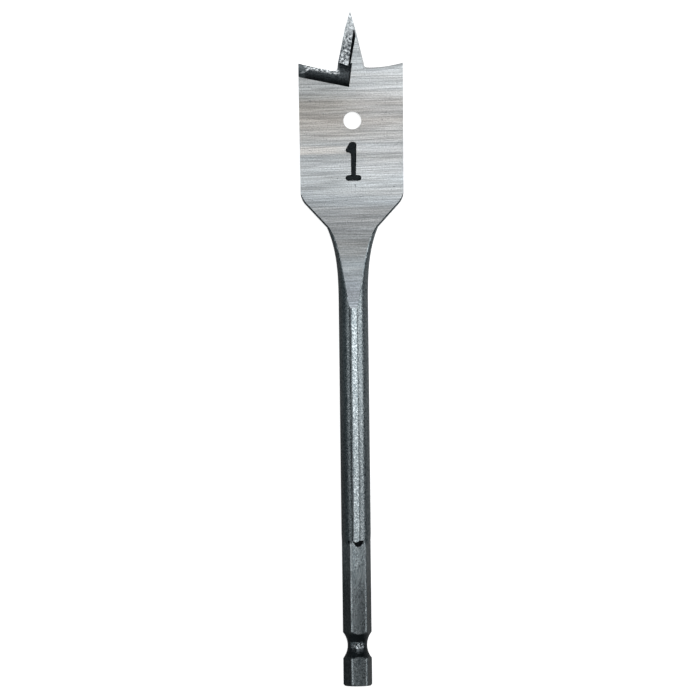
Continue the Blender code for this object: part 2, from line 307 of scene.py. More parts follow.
def carve(body: bpy.types.Object, cutter: bpy.types.Object, finish: Finish) -> None:
    """Cuts a cutter out of the bit, which leaves the cutter's finish on the cut.

    Args:
        body: The bit.
        cutter: What is taken away. It is removed.
        finish: The finish of the new faces.
    """
    coat(cutter, finish)
    make_active(body)
    modifier = body.modifiers.new(cutter.name, "BOOLEAN")
    modifier.operation = "DIFFERENCE"
    modifier.solver = "EXACT"
    modifier.material_mode = "TRANSFER"
    modifier.object = cutter
    bpy.ops.object.modifier_apply(modifier=modifier.name)
    bpy.data.objects.remove(cutter)
    with editing(body):
        bpy.ops.mesh.select_all(action="SELECT")
        bpy.ops.mesh.remove_doubles(threshold=MERGED)


def refinish(
    body: bpy.types.Object, finish: Finish, wanted: Callable[[bmesh.types.BMFace], bool]
) -> None:
    """Gives the faces that pass a test another finish.

    Args:
        body: The bit.
        finish: The finish, new to the bit.
        wanted: Says whether a face gets it.
    """
    body.data.materials.append(bpy.data.materials[finish.value])
    with editing(body, "FACE"):
        pick(body, wanted)
        body.active_material_index = len(body.data.materials) - 1
        bpy.ops.object.material_slot_assign()


def rounded_corner(
    before: Sequence[float], corner: Sequence[float], after: Sequence[float], radius: float, steps: int
) -> Outline:
    """Points of the arc that rounds the corner between two straight lines.

    Args:
        before: A point on the line into the corner.
        corner: The sharp corner.
        after: A point on the line out of it.
        radius: The arc's radius.
        steps: How many straight pieces it has.

    Returns:
        The arc's points in order.
    """
    middle = Vector(corner)
    back = (Vector(before) - middle).normalized()
    on = (Vector(after) - middle).normalized()
    half = back.angle(on) / 2
    centre = middle + (back + on).normalized() * (radius / math.sin(half))
    first = middle + back * (radius / math.tan(half)) - centre
    last = middle + on * (radius / math.tan(half)) - centre
    start = math.atan2(first.y, first.x)
    turn = (math.atan2(last.y, last.x) - start + math.pi) % math.tau - math.pi
    angles = [start + turn * step / steps for step in range(steps + 1)]
    return [(centre.x + radius * math.cos(a), centre.y + radius * math.sin(a)) for a in angles]


@dataclass
class Bar:
    """The forged bar: a shaft, flattened front and back, that widens through the neck into the blade."""

    shaft_radius: float = 3.5 * MM
    shaft_half_width: float = 3.57 * MM
    shaft_half_depth: float = 3.42 * MM
    shank_length: float = 35.3 * MM
    swell: float = 1.6 * MM
    apex: float = 90.7 * MM
    kink: float = 111.2 * MM
    corners: float = 151.1 * MM
    tip: float = 163.5 * MM
    half_width: float = 12.696 * MM
    half_thickness: float = 1.55 * MM
    back_taper: float = 0.2 * MM
    kink_half_width: float = 6.2 * MM
    neck_power: float = 3.3
    ramp_blend: float = 10.0 * MM
    shoulder_angle: float = math.radians(42.5)
    shoulder_radius: float = 4.5 * MM
    shoulder_bulge: float = 0.3 * MM
    ground_bulge: float = 0.02 * MM
    bulge_blend: float = 2.5 * MM
    sides: int = 144
    neck_steps: int = 30
    blend_steps: int = 16
    corner_steps: int = 12
    shoulder_shares: tuple[float, ...] = (0.15, 0.3, 0.5, 0.7)
    overrun: float = 6.0 * MM
    cutter_height: float = 45.0 * MM
    cutter_reach: float = 20.0 * MM
    die_reach: float = 8.0 * MM
    die_start: float = -5.0 * MM

    def half_thickness_at(self, station: float) -> float:
        """Distance from the mid-plane to the ground faces.

        Args:
            station: Distance from the shank end.

        Returns:
            Half the bit's thickness there.
        """
        slope = (self.shaft_radius - self.half_thickness) / (self.kink - self.apex)
        left = self.kink + self.ramp_blend / 2 - station
        if left <= 0:
            return self.half_thickness
        if left < self.ramp_blend:
            return self.half_thickness + slope * left**2 / (2 * self.ramp_blend)
        return self.half_thickness + slope * (self.kink - station)

    def shoulder(self) -> Outline:
        """The shoulder and the rounded corner above it.

        Returns:
            Stations and half widths from just past the kink to the blade's side.
        """
        rise = self.half_width - self.back_taper - self.kink_half_width
        start = (self.kink, self.kink_half_width)
        corner = (self.kink + rise / math.tan(self.shoulder_angle), self.kink_half_width + rise)
        side = (self.corners, self.half_width)
        arc = rounded_corner(start, corner, side, self.shoulder_radius, self.corner_steps)
        run = [
            (start[0] + share * (arc[0][0] - start[0]), start[1] + share * (arc[0][1] - start[1]))
            for share in self.shoulder_shares
        ]
        return run + arc

    def sections(self) -> list[Point]:
        """Every section past the shank.

        Returns:
            Station, half width and half depth of each oval section.
        """
        found: list[Point] = [
            (self.shank_length + self.swell, self.shaft_half_width, self.shaft_radius),
            (self.apex, self.shaft_half_width, self.shaft_radius),
        ]
        for step in range(1, self.neck_steps + 1):
            share = step / self.neck_steps
            station = self.apex + share * (self.kink - self.apex)
            flare = (self.kink_half_width - self.shaft_half_width) * share**self.neck_power
            width = self.shaft_half_width + flare
            half = self.half_thickness_at(station)
            bulge = width * (1 - math.sqrt(1 - (half / self.shaft_radius) ** 2))
            blend = max(0.0, 1 - (self.kink - station) / self.bulge_blend)
            bulge += (self.shoulder_bulge - bulge) * blend
            found.append((station, width, half / math.sin(math.acos(1 - bulge / width))))
        arc_start = len(self.shoulder_shares)
        for index, (station, width) in enumerate(self.shoulder()):
            share = max(0, index - arc_start) / self.corner_steps
            bulge = self.shoulder_bulge + (self.ground_bulge - self.shoulder_bulge) * share
            half = self.half_thickness_at(station)
            found.append((station, width, half / math.sin(math.acos(1 - bulge / width))))
        end = self.tip + CLEAR
        width = self.half_width + (end - self.corners) * self.back_taper / (self.corners - found[-1][0])
        depth = self.half_thickness / math.sin(math.acos(1 - self.ground_bulge / width))
        found.append((end, width, depth))
        return found

    def build(self) -> bpy.types.Object:
        """Draws the bar out from a round rod, section by section.

        Returns:
            The bar, oval all along, before any grinding.
        """
        bar = rod("spade_bit_dressed", self.shaft_radius, 0.0, self.shank_length, self.sides)
        with editing(bar, "FACE"):
            pick(bar, lambda face: face.normal.y > 0.9)
            last = (self.shank_length, self.shaft_radius, self.shaft_radius)
            for station, width, depth in self.sections():
                away = (0.0, station - last[0], 0.0)
                bpy.ops.mesh.extrude_region_move(TRANSFORM_OT_translate={"value": away})
                bpy.ops.transform.resize(
                    value=(width / last[1], 1.0, depth / last[2]), center_override=(0.0, station, 0.0)
                )
                last = (station, width, depth)
        coat(bar, Finish.FORGED)
        return bar

    def flattening(self) -> bpy.types.Object:
        """What the forge's dies flatten along the front of the shaft.

        Returns:
            The cutter for the front.
        """
        low, high = self.shaft_half_depth, 2 * self.shaft_radius
        line = [(self.die_start, low), (self.apex + CLEAR, low)]
        line += [(y, high) for y, _ in reversed(line)]
        return profile_across("flattening", line, self.die_reach)

    def grinding(self) -> bpy.types.Object:
        """What the grinder takes off the front: the ramp, its blend and the blade's flat.

        Returns:
            The cutter for the front face.
        """
        slope = (self.shaft_radius - self.half_thickness) / (self.kink - self.apex)
        lead = 2.0 * MM
        line = [(self.apex - lead, self.shaft_radius + slope * lead)]
        blend_from = self.kink - self.ramp_blend / 2
        for step in range(self.blend_steps + 1):
            station = blend_from + self.ramp_blend * step / self.blend_steps
            line.append((station, self.half_thickness_at(station)))
        line.append((self.tip + self.overrun, self.half_thickness))
        line.append((self.tip + self.overrun, self.cutter_height))
        line.append((self.apex - lead, self.cutter_height))
        return profile_across("grinding", line, self.cutter_reach)


@dataclass
class Shank:
    """The hexagon, the notch that a quick-change chuck locks into, and the bevelled end."""

    shaft_radius: float = 3.5 * MM
    apothem: float = 3.175 * MM
    twist: float = math.radians(9.0)
    hex_end: float = 35.3 * MM
    runout: float = 1.6 * MM
    notch_station: float = 9.85 * MM
    notch_half: float = 3.15 * MM
    notch_floor: float = 2.38 * MM
    chamfer: float = 0.35 * MM
    corner_rounding: float = 0.36 * MM
    corner_segments: int = 8
    notch_segments: int = 128
    ring_radius: float = 6.0 * MM
    ring_overrun: float = 2.0 * MM
    cone_lead: float = 4.0 * MM

    def outside_hexagon(self) -> bpy.types.Object:
        """All that lies outside the hexagon, up to the cone where the flats run out.

        Returns:
            The cutter.
        """
        low, high = -CLEAR, self.hex_end + 8.0 * MM
        ring = rod("outside_hexagon", self.ring_radius, low, high, PLAIN_SIDES)
        hexagon = self.hexagon(low - MM, high + MM)
        slope = (self.shaft_radius - self.apothem) / self.runout
        top = high + MM
        base = self.hex_end - self.cone_lead
        radii = [self.shaft_radius + slope * (station - self.hex_end) for station in (base, top)]
        for taken in (hexagon, cone(base, radii[0], top, radii[1])):
            carve(ring, taken, Finish.FORGED)
        cut_off(ring, (0.0, self.hex_end + self.ring_overrun, 0.0), (0.0, 1.0, 0.0))
        return ring

    def hexagon(self, start: float, end: float) -> bpy.types.Object:
        """The hexagonal bar, turned as it stands against the blade, with its six long edges rounded.

        Args:
            start: Station where it starts.
            end: Station where it ends.

        Returns:
            The bar.
        """
        bar = rod("hexagon", self.apothem / math.cos(math.pi / 6), start, end, 6)
        bar.rotation_euler = (0.0, math.pi / 6 + self.twist, 0.0)
        apply_place(bar)
        long_enough = self.hex_end / 2
        with editing(bar, "EDGE"):
            pick_edges(bar, lambda edge: abs(edge.verts[1].co.y - edge.verts[0].co.y) > long_enough)
            bpy.ops.mesh.bevel(offset=self.corner_rounding, segments=self.corner_segments, affect="EDGES")
        return bar

    def notch(self) -> bpy.types.Object:
        """The turned notch, the inner side of a ring of round section.

        Returns:
            The cutter.
        """
        depth = self.shaft_radius - self.notch_floor
        radius = (self.notch_half**2 + depth**2) / (2 * depth)
        clear_selection()
        bpy.ops.mesh.primitive_torus_add(
            major_radius=self.notch_floor + radius,
            minor_radius=radius,
            major_segments=self.notch_segments,
            minor_segments=self.notch_segments,
            location=(0, self.notch_station, 0),
            rotation=(math.pi / 2, 0.0, 0.0),
        )
        ring = bpy.context.object
        ring.name = "notch"
        apply_place(ring)
        return ring

    def end_bevel(self) -> bpy.types.Object:
        """The bevel round the shank end.

        Returns:
            The cutter.
        """
        ring = rod("end_bevel", self.ring_radius, -CLEAR / 2, CLEAR / 2, PLAIN_SIDES)
        start = self.shaft_radius - self.chamfer
        carve(ring, cone(-CLEAR, start - CLEAR, CLEAR, start + CLEAR), Finish.FORGED)
        return ring


@dataclass(frozen=True)
class WingEdge:
    """How one wing's leading edge was ground: its drop towards the point and the radius of its hollow."""

    drop: float
    sag_radius: float


@dataclass
class Wings:
    """The two wings: hollow leading edges with relief behind them and a round cove in front."""

    bar: Bar = field(default_factory=Bar)
    left: WingEdge = WingEdge(2.05 * MM, 90.0 * MM)
    right: WingEdge = WingEdge(1.15 * MM, 30.0 * MM)
    relief: float = math.radians(27.0)
    point_relief: float = math.radians(10.0)
    point_base: float = 3.4 * MM
    root_fillet: float = 0.7 * MM
    tip_length: float = 4.4 * MM
    tip_base: float = 1.2 * MM
    tip_half_width: float = 0.06 * MM
    cove_depth: float = 1.08 * MM
    cove_half: float = 2.9 * MM
    cove_drop: float = 3.4 * MM
    cove_slope: float = math.radians(11.7)
    cove_length: float = 36.0 * MM
    cove_centre: float = 10.0 * MM
    wall_offset: float = -0.43 * MM
    wall_lean: float = math.radians(8.0)
    wall_draft: float = math.radians(18.0)
    edge_steps: int = 16
    fillet_steps: int = 10

    def edge(self, wing: WingEdge) -> Outline:
        """A wing's leading edge as a left wing's, a hollow arc.

        Args:
            wing: How it was ground.

        Returns:
            Its points from the outer corner in.
        """
        outer = Vector((-self.bar.half_width, self.bar.corners))
        inner = Vector((-self.point_base, self.bar.corners - wing.drop))
        chord = inner - outer
        radius = wing.sag_radius
        rise = math.sqrt(radius**2 - chord.length_squared / 4)
        centre = (outer + inner) / 2 + Vector((-chord.y, chord.x)).normalized() * rise
        first = math.atan2(outer.y - centre.y, outer.x - centre.x)
        last = math.atan2(inner.y - centre.y, inner.x - centre.x)
        shares = (step / self.edge_steps for step in range(self.edge_steps + 1))
        angles = [first + (last - first) * share for share in shares]
        return [(centre.x + radius * math.cos(a), centre.y + radius * math.sin(a)) for a in angles]

    def clearance(self, wing: WingEdge) -> bpy.types.Object:
        """What is ground off above a left wing and left of the point, leaning back for relief.

        Args:
            wing: How its edge was ground.

        Returns:
            The cutter.
        """
        height = self.bar.half_thickness - self.cove_depth
        lift = math.tan(self.relief)
        edge = [(x, y - lift * height) for x, y in self.edge(wing)]
        tip_base_y = self.bar.tip - self.tip_length
        slope = (self.point_base - self.tip_base) / (tip_base_y - edge[-1][1])
        lean = math.tan(self.point_relief) - slope * lift
        root = (edge[-1][0] + math.tan(self.point_relief) * height, edge[-1][1])
        tip_base = (-self.tip_base, tip_base_y)
        arc = rounded_corner(edge[-5], root, tip_base, self.root_fillet, self.fillet_steps)
        rise = (edge[0][1] - edge[1][1]) / (edge[1][0] - edge[0][0])
        out = (edge[0][0] - CLEAR, edge[0][1] + CLEAR * rise)
        tip_slope = (self.tip_base - self.tip_half_width) / self.tip_length
        over = (CLEAR * tip_slope - self.tip_half_width, self.bar.tip + CLEAR)
        outline = [out, *edge[:-2], *arc, tip_base, over, (out[0], over[1])]
        reach = self.bar.half_thickness + CLEAR
        below = [(x + lean * reach, y - lift * reach, -reach) for x, y in outline]
        above = [(x - lean * reach, y + lift * reach, reach) for x, y in outline]
        return solid_between("clearance", below, above)

    def cove(self) -> bpy.types.Object:
        """The round groove that rakes the left wing, ended by a leaning wall near the axis.

        Returns:
            The cutter for the front.
        """
        radius = (self.cove_half**2 + self.cove_depth**2) / (2 * self.cove_depth)
        along = Vector((math.cos(self.cove_slope), -math.sin(self.cove_slope), 0.0))
        across = Vector((math.sin(self.cove_slope), math.cos(self.cove_slope), 0.0))
        outer = Vector((-self.bar.half_width, self.bar.corners - self.cove_drop, 0.0))
        height = self.bar.half_thickness + radius - self.cove_depth
        inward = across * self.cove_half + along * self.cove_centre
        clear_selection()
        bpy.ops.mesh.primitive_cylinder_add(
            vertices=FINE_SIDES,
            radius=radius,
            depth=self.cove_length,
            location=outer + inward + Vector((0.0, 0.0, height)),
            rotation=(0.0, math.pi / 2, -self.cove_slope),
        )
        groove = bpy.context.object
        groove.name = "cove"
        apply_place(groove)
        foot_y = outer.y - (self.bar.half_width + self.wall_offset) * math.tan(self.cove_slope)
        foot = Vector((self.wall_offset, foot_y, self.bar.half_thickness))
        facing = (math.cos(self.wall_lean), -math.sin(self.wall_lean), -math.tan(self.wall_draft))
        cut_off(groove, foot, facing)
        return groove


@dataclass
class CentrePoint:
    """The centre point's flat rake grooves and the steeper bevel at its tip."""

    bar: Bar = field(default_factory=Bar)
    wings: Wings = field(default_factory=Wings)
    groove_start: float = 1.75 * MM
    groove_depth: float = 0.6 * MM
    tip_groove_depth: float = 0.85 * MM
    rake: float = math.radians(5.0)
    wall_offset: float = 0.05 * MM
    wall_lean: float = math.radians(11.0)
    wall_draft: float = math.radians(42.0)
    tip_half_thickness: float = 0.07 * MM
    bevel_lead: float = 0.05 * MM

    def floor(self, x: float, y: float) -> float:
        """Height of the front groove's floor.

        Args:
            x: Distance right of the axis.
            y: Station along the bit.

        Returns:
            The floor's height above the mid-plane.
        """
        tip_base = self.bar.tip - self.wings.tip_length
        share = (y - self.bar.corners) / (tip_base - self.bar.corners)
        depth = self.groove_depth + (self.tip_groove_depth - self.groove_depth) * share
        return self.bar.half_thickness - depth - math.tan(self.rake) * x

    def groove(self) -> bpy.types.Object:
        """The flat groove up the front left of the point.

        Returns:
            The cutter for the front.
        """
        top = self.bar.half_thickness + CLEAR
        draft = math.tan(self.wall_draft)
        left = -self.wings.point_base - CLEAR
        rings = []
        for y in (self.bar.corners - self.groove_start, self.bar.tip + CLEAR):
            wall = self.wall_offset + math.tan(self.wall_lean) * (y - self.bar.corners)
            depth = self.bar.half_thickness - self.floor(0.0, y)
            foot = (wall - draft * depth) / (1 + draft * math.tan(self.rake))
            rings.append(
                [
                    (left, y, top),
                    (left, y, self.floor(left, y)),
                    (foot, y, self.floor(foot, y)),
                    (wall + draft * CLEAR, y, top),
                ]
            )
        return solid_between("point_groove", *rings)

    def tip_bevel(self) -> bpy.types.Object:
        """The bevel that brings the front down to the tip.

        Returns:
            The cutter for the front.
        """
        base_y = self.bar.tip - self.wings.tip_length
        base_z = self.floor(0.0, base_y)
        slope = (base_z - self.tip_half_thickness) / self.wings.tip_length
        side = self.wings.point_base + CLEAR
        top = self.bar.half_thickness + CLEAR
        rake = math.tan(self.rake)
        rings = []
        for y in (base_y - self.bevel_lead, self.bar.tip + CLEAR):
            low = base_z - slope * (y - base_y)
            rings.append(
                [
                    (-side, y, top),
                    (-side, y, low + rake * side),
                    (side, y, low - rake * side),
                    (side, y, top),
                ]
            )
        return solid_between("tip_bevel", *rings)


@dataclass
class Marks:
    """The hanging hole and the stamped size number."""

    bar: Bar = field(default_factory=Bar)
    hole_radius: float = 2.175 * MM
    hole_drop: float = 14.0 * MM
    hole_offset: float = 0.27 * MM
    digit_drop: float = 28.7 * MM
    digit_offset: float = 0.38 * MM
    digit_height: float = 9.45 * MM
    digit_depth: float = 0.35 * MM
    digit_wall: float = 0.17 * MM
    digit_lip: float = 0.04 * MM
    foot: float = 0.129
    cap: float = 0.075
    top: float = 0.077
    flag: float = 0.058
    hole_sides: int = 128
    hole_reach: float = 12.0 * MM

    def hole(self) -> bpy.types.Object:
        """The hanging hole.

        Returns:
            The cutter.
        """
        clear_selection()
        bpy.ops.mesh.primitive_cylinder_add(
            vertices=self.hole_sides,
            radius=self.hole_radius,
            depth=self.hole_reach,
            location=(self.hole_offset, self.bar.corners - self.hole_drop, 0.0),
        )
        plug = bpy.context.object
        plug.name = "hole"
        apply_place(plug)
        return plug

    def digit_outline(self) -> Outline:
        """The figure one with rounded strokes.

        Returns:
            Its outline in shares of its height, from the middle of its foot.
        """
        cap = self.cap
        points = self.stroke_end((self.foot, cap), cap, (-90.0, 90.0), 8)
        points.append((0.066, 2 * cap))
        points += self.stroke_end((0.008, 1.0 - self.top), self.top, (0.0, 90.0), 6)
        points += [(-0.055, 1.0), (-0.095, 0.98)]
        points += self.stroke_end((-0.138, 0.78), self.flag, (155.0, 280.0), 5)
        points += [(-0.082, 0.716), (-0.06, 0.68), (-0.06, 2 * cap)]
        points += self.stroke_end((-self.foot, cap), cap, (90.0, 270.0), 8)
        return points

    @staticmethod
    def stroke_end(
        centre: tuple[float, float], radius: float, degrees: tuple[float, float], steps: int
    ) -> Outline:
        """The round end of a stroke.

        Args:
            centre: The arc's centre.
            radius: Its radius.
            degrees: Where it starts and ends.
            steps: How many straight pieces it has.

        Returns:
            The arc's points in order.
        """
        start, end = (math.radians(angle) for angle in degrees)
        angles = [start + (end - start) * step / steps for step in range(steps + 1)]
        return [(centre[0] + radius * math.cos(a), centre[1] + radius * math.sin(a)) for a in angles]

    def digit(self) -> bpy.types.Object:
        """The stamped number, with sloping walls as a punch leaves them.

        Returns:
            The cutter.
        """
        base = self.bar.corners - self.digit_drop
        size = self.digit_height
        outline = [(self.digit_offset + x * size, base + y * size) for x, y in self.digit_outline()]
        heights = (self.bar.half_thickness + MM, self.bar.half_thickness - self.digit_lip)
        above, below = ([(x, y, z) for x, y in outline] for z in heights)
        punch = solid_between("digit", above, below)
        with editing(punch, "FACE"):
            pick(punch, lambda face: face.normal.z < -0.9)
            bpy.ops.mesh.inset(thickness=self.digit_wall, depth=self.digit_depth - self.digit_lip)
        return punch


@dataclass
class SpadeBit:
    """The whole bit, one forging cut to shape."""

    bar: Bar = field(default_factory=Bar)
    shank: Shank = field(default_factory=Shank)
    wings: Wings = field(default_factory=Wings)
    point: CentrePoint = field(default_factory=CentrePoint)
    marks: Marks = field(default_factory=Marks)
    easing: float = 0.19 * MM
    eased: tuple[float, float] = (94.0 * MM, 123.0 * MM)
    ground_lead: float = 0.8 * MM
    runout_start: float = 3.0 * MM
    runout_end: float = 0.5 * MM
    sliver: float = 0.0001 * MM
    smooth_angle: float = math.radians(9.0)

    def build(self) -> bpy.types.Object:
        """Forges, grinds and stamps the bit, and sets it down.

        Returns:
            The finished bit where it lies.
        """
        body = self.bar.build()
        self.face_sides(body)
        self.cut_both(body, self.bar.flattening(), Finish.FORGED)
        self.cut_both(body, self.bar.grinding(), Finish.GROUND)
        carve(body, self.shank.outside_hexagon(), Finish.FORGED)
        carve(body, self.shank.notch(), Finish.FORGED)
        carve(body, self.shank.end_bevel(), Finish.FORGED)
        carve(body, self.wings.clearance(self.wings.left), Finish.RELIEF)
        right_clearance = self.wings.clearance(self.wings.right)
        turn_over(right_clearance)
        carve(body, right_clearance, Finish.RELIEF)
        self.cut_both(body, self.wings.cove(), Finish.COVE)
        self.cut_both(body, self.point.groove(), Finish.POINT)
        self.cut_both(body, self.point.tip_bevel(), Finish.POINT)
        carve(body, self.marks.hole(), Finish.FORGED)
        carve(body, self.marks.digit(), Finish.STAMP)
        cut_off(body, (0.0, self.bar.tip, 0.0), (0.0, 1.0, 0.0))
        self.ease_shoulders(body)
        self.paint_wall_shade(body)
        self.drop_slivers(body)
        self.crease(body)
        body.matrix_world = REST.matrix()
        apply_place(body)
        return body

    def cut_both(self, body: bpy.types.Object, cutter: bpy.types.Object, finish: Finish) -> None:
        """Cuts the front and, half a turn round, the back.

        Args:
            body: The bit.
            cutter: The cutter for the front.
            finish: The finish it leaves.
        """
        other = cutter.copy()
        other.data = cutter.data.copy()
        bpy.context.scene.collection.objects.link(other)
        turn_over(other)
        carve(body, cutter, finish)
        carve(body, other, finish)

    def face_sides(self, body: bpy.types.Object) -> None:
        """Gives the blade's straight sides the ground finish."""
        start = self.bar.shoulder()[-1][0] - self.ground_lead
        refinish(body, Finish.GROUND, lambda face: face.calc_center_median().y > start)

    def ease_shoulders(self, body: bpy.types.Object) -> None:
        """Breaks the long edges between the ground faces and the forged sides."""
        names = [slot.name for slot in body.data.materials]
        forged = names.index(Finish.FORGED.value)
        pair = {forged, names.index(Finish.GROUND.value)}
        start, end = self.eased

        def is_eased(edge: bmesh.types.BMEdge) -> bool:
            """Whether an edge lies between the two finishes along the neck and shoulders."""
            station = sum(corner.co.y for corner in edge.verts) / 2
            return finishes_beside(edge) == pair and start < station < end

        with editing(body, "EDGE"):
            pick_edges(body, is_eased)
            bpy.ops.mesh.bevel(offset=self.easing, segments=1, affect="EDGES", material=forged)

    def paint_wall_shade(self, body: bpy.types.Object) -> None:
        """Paints shade, as a near-black colour, on the walls that end the grooves and on the hollows where
        two of the flats run out.
        """
        names = [slot.name for slot in body.data.materials]
        grooves = {names.index(Finish.COVE.value), names.index(Finish.POINT.value)}
        forged = names.index(Finish.FORGED.value)
        near = self.shank.hex_end - self.runout_start
        far = self.shank.hex_end + self.runout_end

        def is_shaded(face: bmesh.types.BMFace) -> bool:
            """Whether a face is a groove's wall or part of a run-out."""
            if face.material_index in grooves:
                return abs(face.normal.x) > 0.5
            # Painted shade goes only on the run-outs of the front and back flats, where shade falls.
            inside = near < face.calc_center_median().y < far
            run_out = face.normal.y < -0.1 and abs(face.normal.z) > 0.8
            return face.material_index == forged and inside and run_out

        refinish(body, Finish.PAINTED_SHADE_WALL, is_shaded)

    def drop_slivers(self, body: bpy.types.Object) -> None:
        """Divides the faces into triangles and drops those with no area, which the cuts leave."""
        with editing(body, "FACE"):
            bpy.ops.mesh.select_all(action="SELECT")
            bpy.ops.mesh.quads_convert_to_tris(quad_method="BEAUTY", ngon_method="BEAUTY")
            bpy.ops.mesh.dissolve_degenerate(threshold=self.sliver)

    def crease(self, body: bpy.types.Object) -> None:
        """Smooths the round surfaces and keeps every real edge sharp."""
        make_active(body)
        bpy.ops.object.shade_smooth_by_angle(angle=self.smooth_angle)
        with editing(body, "EDGE"):
            pick_edges(body, lambda edge: len(finishes_beside(edge)) > 1)
            bpy.ops.mesh.mark_sharp()


def add_node(
    tree: bpy.types.NodeTree, kind: str, values: dict[str, object] | None = None, **settings: object
) -> bpy.types.Node:
    """Adds a node and sets it up.

    Args:
        tree: The node tree.
        kind: The node's type.
        values: Values of its input sockets, by name.
        settings: Its own properties.

    Returns:
        The node.
    """
    node = tree.nodes.new(kind)
    for name, value in settings.items():
        setattr(node, name, value)
    for name, value in (values or {}).items():
        node.inputs[name].default_value = value
    return node


def bit_coordinates(tree: bpy.types.NodeTree) -> bpy.types.NodeSocket:
    """Coordinates in millimetres along the bit's own axes, from its shank end.

    Args:
        tree: The material's node tree.

    Returns:
        The vector socket.
    """
    place = add_node(tree, "ShaderNodeTexCoord")
    back = add_node(tree, "ShaderNodeMapping", vector_type="POINT")
    back.inputs["Location"].default_value = -REST.matrix().translation / MM
    back.inputs["Scale"].default_value = (1 / MM, 1 / MM, 1 / MM)
    tree.links.new(place.outputs["Object"], back.inputs["Vector"])
    return back.outputs["Vector"]


def reckon(
    tree: bpy.types.NodeTree,
    operation: str,
    first: bpy.types.NodeSocket | float,
    second: bpy.types.NodeSocket | float = 0.0,
) -> bpy.types.NodeSocket:
    """One step of arithmetic on values that change over the surface.

    Args:
        tree: The node tree.
        operation: The step.
        first: A value, or the socket of one.
        second: A value, or the socket of one.

    Returns:
        The value socket.
    """
    node = add_node(tree, "ShaderNodeMath", operation=operation)
    for slot, value in enumerate((first, second)):
        if isinstance(value, bpy.types.NodeSocket):
            tree.links.new(value, node.inputs[slot])
        else:
            node.inputs[slot].default_value = value
    return node.outputs["Value"]


def split(tree: bpy.types.NodeTree, vector: bpy.types.NodeSocket) -> list[bpy.types.NodeSocket]:
    """The three parts of a vector."""
    node = add_node(tree, "ShaderNodeSeparateXYZ")
    tree.links.new(vector, node.inputs["Vector"])
    return list(node.outputs)


class Effect(Enum):
    """The effects that several finishes share, by the name of their node group."""

    GRAIN = "metal_grain"
    BAND = "band_along_bit"


def open_group(effect: Effect, inputs: Sequence[tuple[str, str]], output: str) -> tuple:
    """Starts the node group of a shared effect.

    Args:
        effect: The effect.
        inputs: Names of its inputs, each with its kind of socket.
        output: The name of its output.

    Returns:
        The group, its input node and its output node.
    """
    group = bpy.data.node_groups.new(effect.value, "ShaderNodeTree")
    for name, kind in inputs:
        group.interface.new_socket(name, in_out="INPUT", socket_type=kind)
    group.interface.new_socket(output, in_out="OUTPUT", socket_type="NodeSocketFloat")
    return group, add_node(group, "NodeGroupInput"), add_node(group, "NodeGroupOutput")


def make_grain_group() -> None:
    """Builds the grain that every finish uses: noise in waves per millimetre, turned and stretched."""
    wanted = [
        ("Waves", "NodeSocketVector"),
        ("Turn", "NodeSocketVector"),
        ("Harshness", "NodeSocketFloat"),
        ("Low", "NodeSocketFloat"),
        ("High", "NodeSocketFloat"),
    ]
    group, given, out = open_group(Effect.GRAIN, wanted, "Grain")
    turned = add_node(group, "ShaderNodeMapping")
    group.links.new(bit_coordinates(group), turned.inputs["Vector"])
    group.links.new(given.outputs["Turn"], turned.inputs["Rotation"])
    stretched = add_node(group, "ShaderNodeVectorMath", operation="MULTIPLY")
    group.links.new(turned.outputs["Vector"], stretched.inputs[0])
    group.links.new(given.outputs["Waves"], stretched.inputs[1])
    waves = add_node(group, "ShaderNodeTexNoise", {"Scale": 1.0, "Detail": 4.0})
    group.links.new(stretched.outputs["Vector"], waves.inputs["Vector"])
    group.links.new(given.outputs["Harshness"], waves.inputs["Roughness"])
    held = add_node(group, "ShaderNodeMapRange")
    group.links.new(waves.outputs["Fac"], held.inputs["Value"])
    group.links.new(given.outputs["Low"], held.inputs["From Min"])
    group.links.new(given.outputs["High"], held.inputs["From Max"])
    group.links.new(held.outputs["Result"], out.inputs["Grain"])


def make_band_group() -> None:
    """Builds the mask of a stretch of the bit between two stations, with soft ends."""
    wanted = [(name, "NodeSocketFloat") for name in ("Start", "End", "Softness")]
    group, given, out = open_group(Effect.BAND, wanted, "Band")
    station = split(group, bit_coordinates(group))[1]
    past_start = reckon(group, "SUBTRACT", station, given.outputs["Start"])
    before_end = reckon(group, "SUBTRACT", given.outputs["End"], station)
    inside = reckon(group, "MINIMUM", past_start, before_end)
    soft = add_node(group, "ShaderNodeMapRange", {"From Min": 0.0}, interpolation_type="SMOOTHSTEP")
    group.links.new(inside, soft.inputs["Value"])
    group.links.new(given.outputs["Softness"], soft.inputs["From Max"])
    group.links.new(soft.outputs["Result"], out.inputs["Band"])


def place_group(tree: bpy.types.NodeTree, effect: Effect, values: dict[str, object]) -> bpy.types.NodeSocket:
    """Places a shared effect in a material.

    Args:
        tree: The material's node tree.
        effect: The effect.
        values: Values of its inputs, by name.

    Returns:
        Its one output, from 0 to 1.
    """
    node = tree.nodes.new("ShaderNodeGroup")
    node.node_tree = bpy.data.node_groups[effect.value]
    for name, value in values.items():
        node.inputs[name].default_value = value
    return node.outputs[0]


@dataclass(frozen=True)
class Grain:
    """One use of the shared grain.

    Attributes:
        waves: Waves per millimetre across, along and through the bit.
        low: The noise value that gives 0.
        high: The noise value that gives 1.
        harshness: How strong the finer layers are.
        turn: How far the pattern is turned in the blade's plane, in degrees.
    """

    waves: Point
    low: float = 0.3
    high: float = 0.7
    harshness: float = 0.6
    turn: float = 0.0

    def place(self, tree: bpy.types.NodeTree) -> bpy.types.NodeSocket:
        """Places the grain in a material, as a value from 0 to 1."""
        values = {"Waves": self.waves, "Turn": (0.0, 0.0, math.radians(self.turn))}
        values.update({"Harshness": self.harshness, "Low": self.low, "High": self.high})
        return place_group(tree, Effect.GRAIN, values)


